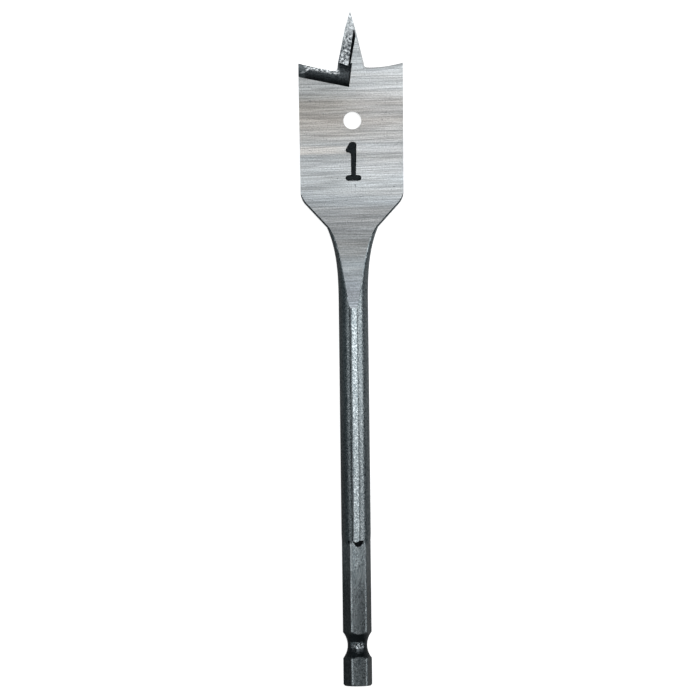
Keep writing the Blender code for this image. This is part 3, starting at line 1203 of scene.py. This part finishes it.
def band(tree: bpy.types.NodeTree, start: float, end: float, softness: float) -> bpy.types.NodeSocket:
    """Places the shared mask of a stretch of the bit.

    Args:
        tree: The material's node tree.
        start: Station where it starts, in millimetres.
        end: Station where it ends.
        softness: How far inside it is whole.

    Returns:
        A value from 0 to 1.
    """
    return place_group(tree, Effect.BAND, {"Start": start, "End": end, "Softness": softness})


def grey(level: float) -> Point:
    """A colour with no hue."""
    return (level, level, level)


def ramp(
    tree: bpy.types.NodeTree, source: bpy.types.NodeSocket, stops: Sequence[tuple[float, Sequence[float]]]
) -> bpy.types.NodeSocket:
    """A colour ramp.

    Args:
        tree: The node tree.
        source: The value that it reads.
        stops: Positions and colours.

    Returns:
        The colour socket.
    """
    node = add_node(tree, "ShaderNodeValToRGB")
    elements = node.color_ramp.elements
    for element, (position, colour) in zip(elements, (stops[0], stops[-1])):
        element.position = position
        element.color = (*colour, 1.0)
    for position, colour in stops[1:-1]:
        elements.new(position).color = (*colour, 1.0)
    tree.links.new(source, node.inputs["Fac"])
    return node.outputs["Color"]


def remap(
    tree: bpy.types.NodeTree,
    source: bpy.types.NodeSocket,
    low: float,
    high: float,
    to: tuple[float, float] = (0.0, 1.0),
) -> bpy.types.NodeSocket:
    """A value brought from one range to another, and held inside it.

    Args:
        tree: The node tree.
        source: The value.
        low: The value that gives the new range's start.
        high: The value that gives its end.
        to: The new range.

    Returns:
        The value socket.
    """
    values = {"From Min": low, "From Max": high, "To Min": to[0], "To Max": to[1]}
    node = add_node(tree, "ShaderNodeMapRange", values)
    tree.links.new(source, node.inputs["Value"])
    return node.outputs["Result"]


def blended(
    tree: bpy.types.NodeTree,
    share: bpy.types.NodeSocket | float,
    first: bpy.types.NodeSocket | Sequence[float],
    second: bpy.types.NodeSocket | Sequence[float],
    mode: str = "MIX",
) -> bpy.types.NodeSocket:
    """Two colours mixed.

    Args:
        tree: The node tree.
        share: How much of the second there is.
        first: A colour, or the socket of one.
        second: A colour, or the socket of one.
        mode: The way of mixing.

    Returns:
        The colour socket.
    """
    node = add_node(tree, "ShaderNodeMix", data_type="RGBA", blend_type=mode)
    for slot, value in ((0, share), (6, first), (7, second)):
        if isinstance(value, bpy.types.NodeSocket):
            tree.links.new(value, node.inputs[slot])
        elif slot == 0:
            node.inputs[slot].default_value = value
        else:
            node.inputs[slot].default_value = (*value, 1.0)
    return node.outputs[2]


def tinted(
    tree: bpy.types.NodeTree, colour: bpy.types.NodeSocket, tint: bpy.types.NodeSocket
) -> bpy.types.NodeSocket:
    """A colour multiplied by another."""
    return blended(tree, 1.0, colour, tint, "MULTIPLY")


def product(
    tree: bpy.types.NodeTree, first: bpy.types.NodeSocket, *others: bpy.types.NodeSocket | float
) -> bpy.types.NodeSocket:
    """The product of several values."""
    for other in others:
        first = reckon(tree, "MULTIPLY", first, other)
    return first


def side_seen(
    tree: bpy.types.NodeTree, across: bpy.types.NodeSocket, through: bpy.types.NodeSocket
) -> bpy.types.NodeSocket:
    """Distance right of the axis, seen from the face's own side.

    Args:
        tree: The node tree.
        across: Distance right of the axis, seen from the front.
        through: Height above the mid-plane.

    Returns:
        The value socket.
    """
    return product(tree, across, reckon(tree, "SIGN", through))


def start_material(finish: Finish) -> tuple[bpy.types.NodeTree, bpy.types.Node, bpy.types.NodeSocket]:
    """A new metal material.

    Args:
        finish: Its name.

    Returns:
        Its node tree, its shader and the bit's coordinates.
    """
    material = bpy.data.materials.new(finish.value)
    material.use_nodes = True
    tree = material.node_tree
    shader = tree.nodes["Principled BSDF"]
    shader.inputs["Metallic"].default_value = 1.0
    return tree, shader, bit_coordinates(tree)


def dress(
    tree: bpy.types.NodeTree,
    shader: bpy.types.Node,
    colour: bpy.types.NodeSocket,
    rough: tuple[bpy.types.NodeSocket, tuple[float, float]],
    heights: Sequence[tuple[bpy.types.NodeSocket, float, float]],
) -> None:
    """Joins the colour, the roughness and the stacked bumps to the shader.

    Args:
        tree: The node tree.
        shader: The shader.
        colour: The colour socket.
        rough: The value that the roughness follows, and the roughness at its 0 and 1.
        heights: Height sockets, each with its depth in millimetres and its strength.
    """
    tree.links.new(colour, shader.inputs["Base Color"])
    tree.links.new(remap(tree, rough[0], 0.0, 1.0, rough[1]), shader.inputs["Roughness"])
    last = None
    for height, depth, strength in heights:
        bump = add_node(tree, "ShaderNodeBump", {"Distance": depth * MM, "Strength": strength})
        tree.links.new(height, bump.inputs["Height"])
        if last is not None:
            tree.links.new(last, bump.inputs["Normal"])
        last = bump.outputs["Normal"]
    tree.links.new(last, shader.inputs["Normal"])


@dataclass(frozen=True)
class ForgedSkin:
    """Dark scaled skin left by the forge, pebbled and a little streaked along the bit, with painted light:
    painted shade towards the shank end, on the right of the hexagon's faces, in the notch and along a line
    beside the flat, and painted highlights on the left of the hexagon's faces and on spots in the notch.
    """

    dark: Point = (0.06, 0.082, 0.093)
    light: Point = (0.38, 0.415, 0.43)
    bare: Point = (0.52, 0.56, 0.58)
    # Painted shade in the notch.
    notch_painted_shade: Point = (0.02, 0.024, 0.027)
    # Painted highlight on spots in the notch.
    notch_painted_glint: Point = (0.50, 0.54, 0.56)
    # Painted shade along a line beside the flat.
    painted_gap_shade: Point = (0.03, 0.036, 0.04)
    pebbles: Grain = Grain((2.4, 1.9, 2.4), 0.42, 0.58)
    fine: Grain = Grain((4.6, 3.6, 4.6), 0.40, 0.60)
    streaks: Grain = Grain((1.3, 0.10, 1.3))
    patches: Grain = Grain((2.0, 0.5, 2.0), 0.20, 0.52)
    waver: Grain = Grain((0.6, 0.5, 0.6))
    fine_share: float = 0.4
    streak_share: float = 0.22
    # Painted shade along the bit: the skin is darker towards the shank end, where less light falls.
    painted_shade_levels: tuple[tuple[float, float], ...] = (
        (0.0, 0.31),
        (10.0, 0.31),
        (22.0, 0.35),
        (30.0, 0.72),
        (38.0, 0.76),
        (60.0, 0.82),
        (70.0, 1.0),
    )
    last_station: float = 100.0
    # Painted light on the hexagon: lighter on the left of each face, darker on the right.
    painted_left_highlight: float = 1.45
    painted_right_shade: float = 0.85
    start: float = -1.0
    notch: tuple[float, float] = (6.9, 12.9)
    # Where the painted highlights in the notch lie.
    notch_glint_stretch: tuple[float, float] = (9.0, 10.9)
    hex_end: float = 34.9
    hex_twist: float = math.radians(9.0)
    # Where the painted line of shade lies beside the flat, and how far it wanders.
    shade_line_offset: float = -0.68
    shade_line_waver: float = 0.12

    def make(self) -> None:
        """Builds the material."""
        tree, shader, place = start_material(Finish.FORGED)
        pebbles, fine, streaks = (kind.place(tree) for kind in (self.pebbles, self.fine, self.streaks))
        mottled = blended(tree, self.streak_share, blended(tree, self.fine_share, pebbles, fine), streaks)
        skin = blended(tree, mottled, self.dark, self.light)
        across, along, through = split(tree, place)
        # Painted shade: darker towards the shank end.
        station = remap(tree, along, 0.0, self.last_station)
        stops = [(position / self.last_station, grey(level)) for position, level in self.painted_shade_levels]
        skin = tinted(tree, skin, ramp(tree, station, stops))
        side = side_seen(tree, across, through)
        # Painted highlight on the left of the hexagon's faces and painted shade on their right.
        painted_side_light = blended(tree, remap(tree, side, -1.3, 1.2), grey(self.painted_left_highlight), grey(self.painted_right_shade))
        on_hex = band(tree, self.start, self.hex_end, 0.6)
        skin = blended(tree, on_hex, skin, tinted(tree, skin, painted_side_light))
        # Painted shade in the notch.
        skin = blended(tree, product(tree, band(tree, *self.notch, 0.5), 0.6), skin, self.notch_painted_shade)
        # Painted highlights on spots in the middle of the notch.
        facing = remap(tree, reckon(tree, "ABSOLUTE", across), 1.9, 1.4, (0.0, 0.9))
        notch_painted_glint = product(tree, facing, pebbles, band(tree, *self.notch_glint_stretch, 0.4))
        skin = blended(tree, notch_painted_glint, skin, self.notch_painted_glint)
        # Painted shade along a line beside the flat.
        skin = blended(tree, self.painted_shade_line(tree, side), skin, self.painted_gap_shade)
        skin = blended(tree, self.worn_edges(tree, place), skin, self.bare)
        heights = [(streaks, 0.004, 0.4), (pebbles, 0.026, 0.5), (fine, 0.010, 0.5)]
        dress(tree, shader, skin, (streaks, (0.13, 0.20)), heights)

    def painted_shade_line(self, tree: bpy.types.NodeTree, side: bpy.types.NodeSocket) -> bpy.types.NodeSocket:
        """Painted shade: a dark line beside the flat along the shaft, on the left of each flat.

        Args:
            tree: The node tree.
            side: Distance right of the axis, seen from the face's own side.

        Returns:
            The mask.
        """
        drift = remap(tree, self.waver.place(tree), 0.0, 1.0, (-self.shade_line_waver, self.shade_line_waver))
        away = reckon(tree, "SUBTRACT", reckon(tree, "ADD", side, drift), self.shade_line_offset)
        painted_gap_shade = remap(tree, reckon(tree, "ABSOLUTE", away), 0.32, 0.18, (0.0, 0.85))
        return product(tree, painted_gap_shade, band(tree, self.hex_end, self.last_station, 1.5))

    def worn_edges(self, tree: bpy.types.NodeTree, place: bpy.types.NodeSocket) -> bpy.types.NodeSocket:
        """Where the hexagon's six edges are worn bare.

        Args:
            tree: The node tree.
            place: The bit's coordinates.

        Returns:
            The mask.
        """
        across, _, through = split(tree, place)
        angle = reckon(tree, "SUBTRACT", reckon(tree, "ARCTAN2", across, through), self.hex_twist)
        wave = reckon(tree, "COSINE", product(tree, angle, 6.0))
        edge = remap(tree, wave, -0.86, -0.96)
        below_notch = band(tree, self.start, self.notch[0], 0.3)
        above_notch = band(tree, self.notch[1], self.hex_end, 0.5)
        clear_of_notch = reckon(tree, "MAXIMUM", below_notch, above_notch)
        return product(tree, edge, self.patches.place(tree), clear_of_notch)


@dataclass(frozen=True)
class GroundSteel:
    """Bright steel ground across the bit, with fine lines and drifts of warmer and cooler grey."""

    finish: Finish = Finish.GROUND
    # How bright the tones are; the relief's higher value is painted light.
    gain: float = 0.82
    start: float = 90.0
    end: float = 165.0
    lines: Grain = Grain((0.025, 3.6, 0.3), 0.36, 0.64, 0.6, -1.7)
    hairs: Grain = Grain((0.10, 5.6, 1.0), 0.40, 0.60, 0.4, -1.2)
    drift: Grain = Grain((0.02, 0.9, 0.15), 0.3, 0.7, 0.5, -1.7)
    speckle: Grain = Grain((3.2, 3.2, 3.2), 0.38, 0.62)
    heat: Grain = Grain((0.02, 0.30, 0.2), 0.35, 0.65)
    pits: Grain = Grain((1.5, 1.9, 1.6), 0.67, 0.72, 0.5)
    scratches: Grain = Grain((0.16, 5.0, 0.4), 0.70, 0.77, 0.5, -38.0)
    contrasts: tuple[float, float, float, float] = (0.26, 0.24, 0.05, 0.20)
    cool: Point = (0.98, 1.0, 1.015)
    warm: Point = (1.02, 1.0, 0.98)
    flaw: Point = (0.10, 0.105, 0.11)
    border_drift: float = 0.6
    side_drift: float = 2.0
    # Station, then the colour at the left and at the right: the steel's own tone, together with painted
    # shade that makes the ramp darker than the blade towards the tip.
    tones: tuple[tuple[float, Point, Point], ...] = (
        (90.0, (0.37, 0.40, 0.43), (0.37, 0.40, 0.43)),
        (95.0, (0.265, 0.285, 0.31), (0.265, 0.285, 0.31)),
        (101.0, (0.315, 0.34, 0.355), (0.315, 0.34, 0.355)),
        (108.0, (0.248, 0.255, 0.258), (0.248, 0.255, 0.258)),
        (114.0, (0.288, 0.296, 0.303), (0.288, 0.296, 0.303)),
        (118.5, (0.365, 0.385, 0.40), (0.405, 0.425, 0.44)),
        (122.0, (0.40, 0.42, 0.432), (0.52, 0.54, 0.552)),
        (126.0, (0.46, 0.48, 0.495), (0.485, 0.496, 0.507)),
        (128.3, (0.36, 0.38, 0.395), (0.385, 0.40, 0.41)),
        (129.3, (0.49, 0.475, 0.46), (0.46, 0.465, 0.47)),
        (130.4, (0.49, 0.475, 0.46), (0.46, 0.465, 0.47)),
        (131.3, (0.405, 0.41, 0.41), (0.44, 0.45, 0.457)),
        (136.6, (0.365, 0.352, 0.337), (0.405, 0.397, 0.39)),
        (141.2, (0.305, 0.298, 0.285), (0.435, 0.425, 0.418)),
        (145.0, (0.335, 0.345, 0.348), (0.48, 0.495, 0.505)),
        (149.0, (0.36, 0.37, 0.375), (0.50, 0.52, 0.535)),
        (165.0, (0.44, 0.478, 0.495), (0.44, 0.478, 0.495)),
    )

    def make(self) -> None:
        """Builds the material."""
        tree, shader, place = start_material(self.finish)
        kinds = (self.lines, self.hairs, self.drift, self.speckle)
        masks = [kind.place(tree) for kind in kinds]
        lines, hairs, drift, _ = masks
        colour = self.tone(tree, place, drift)
        for mask, contrast in zip(masks, self.contrasts):
            colour = tinted(tree, colour, blended(tree, mask, grey(1 - contrast), grey(1 + contrast)))
        colour = tinted(tree, colour, blended(tree, self.heat.place(tree), self.cool, self.warm))
        colour = blended(tree, self.flaws(tree), colour, self.flaw)
        dress(tree, shader, colour, (lines, (0.38, 0.50)), [(lines, 0.008, 0.5), (hairs, 0.004, 0.5)])

    def tone(
        self, tree: bpy.types.NodeTree, place: bpy.types.NodeSocket, drift: bpy.types.NodeSocket
    ) -> bpy.types.NodeSocket:
        """The steel's colour along the bit, with wandering borders, lighter towards one side, partly its own
        tone and partly painted shade that leaves the ramp darker than the blade towards the tip.

        Args:
            tree: The node tree.
            place: The bit's coordinates.
            drift: Value that moves the borders.

        Returns:
            The colour socket.
        """
        across, along, through = split(tree, place)
        border, middle = (
            remap(tree, drift, 0.0, 1.0, (-reach, reach)) for reach in (self.border_drift, self.side_drift)
        )
        share = remap(tree, reckon(tree, "ADD", along, border), self.start, self.end)
        length = self.end - self.start
        sides = []
        for column in (1, 2):
            stops = []
            for row in self.tones:
                stops.append(((row[0] - self.start) / length, [self.gain * part for part in row[column]]))
            sides.append(ramp(tree, share, stops))
        towards_right = remap(tree, reckon(tree, "ADD", side_seen(tree, across, through), middle), -4.0, 4.5)
        return blended(tree, towards_right, *sides)

    def flaws(self, tree: bpy.types.NodeTree) -> bpy.types.NodeSocket:
        """Small pits and a few scratches across the grinding.

        Args:
            tree: The node tree.

        Returns:
            The mask.
        """
        scratches = product(tree, self.scratches.place(tree), 0.6)
        return product(tree, reckon(tree, "MAXIMUM", self.pits.place(tree), scratches), 0.8)


@dataclass(frozen=True)
class CoveCut:
    """The blackened cut of the wings' coves, chipped bright along the cutting edge."""

    dark: Point = (0.022, 0.025, 0.028)
    light: Point = (0.10, 0.112, 0.12)
    bright: Point = (0.80, 0.83, 0.85)
    shade: Point = (0.006, 0.007, 0.008)
    worn: Point = (0.17, 0.19, 0.20)
    coarse: Grain = Grain((2.4, 2.4, 2.4), 0.34, 0.70, 0.65)
    chips: Grain = Grain((1.7, 3.0, 2.0), 0.45, 0.54, 0.7, -10.0)
    half_width: float = 12.7
    lower_border: float = 147.7
    slope: float = math.radians(11.7)
    streak_slope: float = 0.73
    streak_rise: float = 0.62

    def make(self) -> None:
        """Builds the material."""
        tree, shader, place = start_material(Finish.COVE)
        coarse, chips = self.coarse.place(tree), self.chips.place(tree)
        across, along, _ = split(tree, place)
        inward = reckon(tree, "SUBTRACT", self.half_width, reckon(tree, "ABSOLUTE", across))
        up = product(tree, reckon(tree, "SUBTRACT", along, self.lower_border), math.cos(self.slope))
        above = reckon(tree, "ADD", up, product(tree, inward, math.sin(self.slope)))
        metal = blended(tree, coarse, self.dark, self.light)
        metal = blended(tree, remap(tree, above, 0.2, 1.6, (0.25, 1.0)), self.shade, metal)
        outer = product(tree, remap(tree, inward, 1.9, 1.2), 0.6)
        metal = blended(tree, outer, metal, self.worn)
        ends = product(tree, remap(tree, inward, 1.2, 2.2), remap(tree, inward, 10.2, 9.2))
        edge_chips = product(tree, ends, remap(tree, above, 2.2, 2.9), chips)
        metal = blended(tree, edge_chips, metal, self.bright)
        beside = reckon(tree, "SUBTRACT", above, product(tree, inward, self.streak_slope))
        beside = reckon(tree, "ABSOLUTE", reckon(tree, "SUBTRACT", beside, self.streak_rise))
        corner = product(tree, remap(tree, above, 0.9, 1.4), remap(tree, inward, 3.2, 2.4))
        streak = product(tree, remap(tree, beside, 0.34, 0.12, (0.0, 0.8)), chips, corner)
        metal = blended(tree, streak, metal, self.bright)
        dress(tree, shader, metal, (coarse, (0.30, 0.45)), [(coarse, 0.05, 0.6), (chips, 0.03, 0.5)])


@dataclass(frozen=True)
class PointCut:
    """The coarse sparkling cut on the centre point, painted lighter towards the tip as a painted highlight.
    """

    dark: Point = (0.02, 0.025, 0.03)
    light: Point = (0.56, 0.59, 0.61)
    chips: Grain = Grain((1.6, 1.4, 1.6), 0.46, 0.55, 0.65)
    specks: Grain = Grain((2.6, 2.2, 2.6), 0.45, 0.56)
    speck_share: float = 0.45
    # Where the painted highlight at the tip fades in.
    tip: tuple[float, float] = (157.0, 161.0)

    def make(self) -> None:
        """Builds the material."""
        tree, shader, place = start_material(Finish.POINT)
        chips, specks = self.chips.place(tree), self.specks.place(tree)
        rough_cut = blended(tree, self.speck_share, chips, specks)
        metal = blended(tree, rough_cut, self.dark, self.light)
        # Painted highlight: lighter towards the tip.
        tip = remap(tree, split(tree, place)[1], *self.tip, (0.0, 0.95))
        metal = blended(tree, tip, metal, self.light)
        dress(tree, shader, metal, (specks, (0.28, 0.42)), [(chips, 0.07, 0.5), (specks, 0.02, 0.5)])


@dataclass(frozen=True)
class PaintedShadeWall:
    """Painted shade: near-black colour on the walls that end the grooves and in the run-outs of the flats.
    """

    dark: Point = (0.006, 0.007, 0.008)
    light: Point = (0.035, 0.040, 0.044)
    coarse: Grain = Grain((2.8, 2.8, 2.8), 0.40, 0.75, 0.65)

    def make(self) -> None:
        """Builds the material."""
        tree, shader, _ = start_material(Finish.PAINTED_SHADE_WALL)
        coarse = self.coarse.place(tree)
        metal = blended(tree, coarse, self.dark, self.light)
        dress(tree, shader, metal, (coarse, (0.35, 0.5)), [(coarse, 0.04, 0.5)])


@dataclass(frozen=True)
class StampedRecess:
    """The near-black floor and walls of the stamped number, with painted shade that makes the walls darker
    still.
    """

    wall: Point = (0.002, 0.0024, 0.0028)
    dark: Point = (0.003, 0.0036, 0.004)
    light: Point = (0.022, 0.026, 0.028)
    coarse: Grain = Grain((2.6, 2.6, 2.6), 0.36, 0.66, 0.65)
    # Heights above which the walls get the painted shade.
    wall_shade_start: tuple[float, float] = (1.21, 1.25)

    def make(self) -> None:
        """Builds the material."""
        tree, shader, place = start_material(Finish.STAMP)
        coarse = self.coarse.place(tree)
        metal = blended(tree, coarse, self.dark, self.light)
        # Painted shade on the recess's walls.
        wall = remap(tree, split(tree, place)[2], *self.wall_shade_start)
        metal = blended(tree, wall, metal, self.wall)
        dress(tree, shader, metal, (coarse, (0.35, 0.5)), [(coarse, 0.04, 0.5)])


@dataclass(frozen=True)
class SoftBox:
    """One soft light, placed by the angles at which the bit sees it, in degrees from square to its face."""

    name: str
    middle: float
    half_spread: float
    brightness: float
    distance: float = 1.2
    length: float = 0.62
    along: float = 0.02

    def hang(self) -> None:
        """Makes the light, unseen by the camera."""
        width = 2 * self.distance * math.tan(math.radians(self.half_spread))
        lamp = bpy.data.lights.new(self.name, "AREA")
        lamp.shape = "RECTANGLE"
        lamp.size = width
        lamp.size_y = self.length
        lamp.energy = self.brightness * math.pi * width * self.length
        thing = bpy.data.objects.new(self.name, lamp)
        bpy.context.scene.collection.objects.link(thing)
        angle = math.radians(self.middle)
        thing.location = (self.distance * math.sin(angle), self.along, self.distance * math.cos(angle))
        thing.rotation_euler = (0.0, angle, 0.0)
        thing.visible_camera = False


@dataclass
class Studio:
    """White floor, soft lights and the camera above."""

    boxes: tuple[SoftBox, ...] = (
        SoftBox("top_box", 4.0, 11.5, 3.7, length=0.82, along=0.20),
        SoftBox("right_box", 51.0, 17.0, 2.0, length=0.58, along=0.08),
        SoftBox("left_box", -45.0, 6.0, 1.2, length=0.58, along=0.08),
    )
    camera_height: float = 1.0
    frame_width: float = 169.9 * MM
    camera_place: tuple[float, float] = (-0.96 * MM, -0.32 * MM)
    camera_turn: float = math.radians(-0.68)
    sensor: float = 36.0
    sight: tuple[float, float] = (0.01, 10.0)
    floor_size: float = 4.0
    room: Point = (0.115, 0.138, 0.146)
    paper: float = 0.80
    paper_glow: float = 0.85
    # Painted light, seen only in reflections: the floor's glow by the blade, and its darker left and lighter
    # right.
    painted_glow_by_blade: float = 0.55
    left_floor_painted_shade: float = 0.27
    right_floor_painted_light: float = 0.60

    def build(self) -> None:
        """Sets the whole studio up."""
        self.lay_floor()
        self.light_world()
        for box in self.boxes:
            box.hang()
        self.place_camera()

    def lay_floor(self) -> None:
        """Lays the floor, white to the camera, with the bit's shadow kept; to the metal's reflections it is
        painted darker on the left and lighter on the right, and it glows by the blade as painted light.
        """
        clear_selection()
        bpy.ops.mesh.primitive_plane_add(size=self.floor_size, location=(0.0, 0.0, 0.0))
        floor = bpy.context.object
        floor.name = "floor"
        material = bpy.data.materials.new("white_floor")
        material.use_nodes = True
        tree = material.node_tree
        shader = tree.nodes["Principled BSDF"]
        shader.inputs["Roughness"].default_value = 1.0
        shader.inputs["Specular IOR Level"].default_value = 0.0
        path = add_node(tree, "ShaderNodeLightPath")
        across, along, _ = split(tree, add_node(tree, "ShaderNodeTexCoord").outputs["Object"])
        # Painted shade and light for the reflections: the floor is darker on the left, lighter on the right.
        right = remap(tree, across, -2 * MM, 6 * MM)
        seen = blended(tree, right, grey(self.left_floor_painted_shade), grey(self.right_floor_painted_light))
        colour = blended(tree, path.outputs["Is Camera Ray"], seen, grey(self.paper))
        # Painted light: the floor glows beside the blade, though it is no lamp.
        blade_painted_glow = remap(tree, along, 30 * MM, 55 * MM, (0.0, self.painted_glow_by_blade))
        direct = product(tree, path.outputs["Is Camera Ray"], self.paper_glow)
        glow = reckon(tree, "MAXIMUM", blade_painted_glow, direct)
        tree.links.new(colour, shader.inputs["Base Color"])
        shader.inputs["Emission Color"].default_value = (*grey(1.0), 1.0)
        tree.links.new(glow, shader.inputs["Emission Strength"])
        floor.data.materials.append(material)

    def light_world(self) -> None:
        """Makes the world dim for the metal and white behind it for the camera."""
        world = bpy.data.worlds.new("studio")
        world.use_nodes = True
        tree = world.node_tree
        ground = tree.nodes["Background"]
        path = add_node(tree, "ShaderNodeLightPath")
        colour = blended(tree, path.outputs["Is Camera Ray"], self.room, grey(1.0))
        tree.links.new(colour, ground.inputs["Color"])
        bpy.context.scene.world = world

    def place_camera(self) -> None:
        """Hangs the camera square above the blade's face, turned a little as the photograph was."""
        lens = bpy.data.cameras.new("camera")
        lens.sensor_width = self.sensor
        lens.lens = self.sensor * self.camera_height / self.frame_width
        lens.clip_start, lens.clip_end = self.sight
        thing = bpy.data.objects.new("camera", lens)
        bpy.context.scene.collection.objects.link(thing)
        thing.location = (*self.camera_place, REST.axis_height + self.camera_height)
        thing.rotation_euler = (0.0, 0.0, self.camera_turn)
        bpy.context.scene.camera = thing
        bpy.context.scene.view_settings.view_transform = "Standard"


def report(piece: bpy.types.Object) -> None:
    """Logs a finished piece's size."""
    faces = len(piece.data.polygons)
    sides = ", ".join(f"{side / MM:.2f}" for side in piece.dimensions)
    LOG.info("%s: %d faces, %s mm", piece.name, faces, sides)


def main() -> None:
    """Builds the finishes, the bit and the studio."""
    logging.basicConfig(level=logging.INFO, format="%(name)s: %(message)s")
    make_grain_group()
    make_band_group()
    # The relief's copy of the ground steel is lighter, as painted light: its faces lean away from the
    # lights.
    relief = GroundSteel(Finish.RELIEF, gain=1.2)
    cuts = (CoveCut(), PointCut(), PaintedShadeWall(), StampedRecess())
    for finish in (ForgedSkin(), GroundSteel(), relief, *cuts):
        finish.make()
    bit = SpadeBit().build()
    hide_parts("spade_bit")
    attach(bit, "root")
    report(bit)
    Studio().build()


if __name__ == "__main__":
    main()
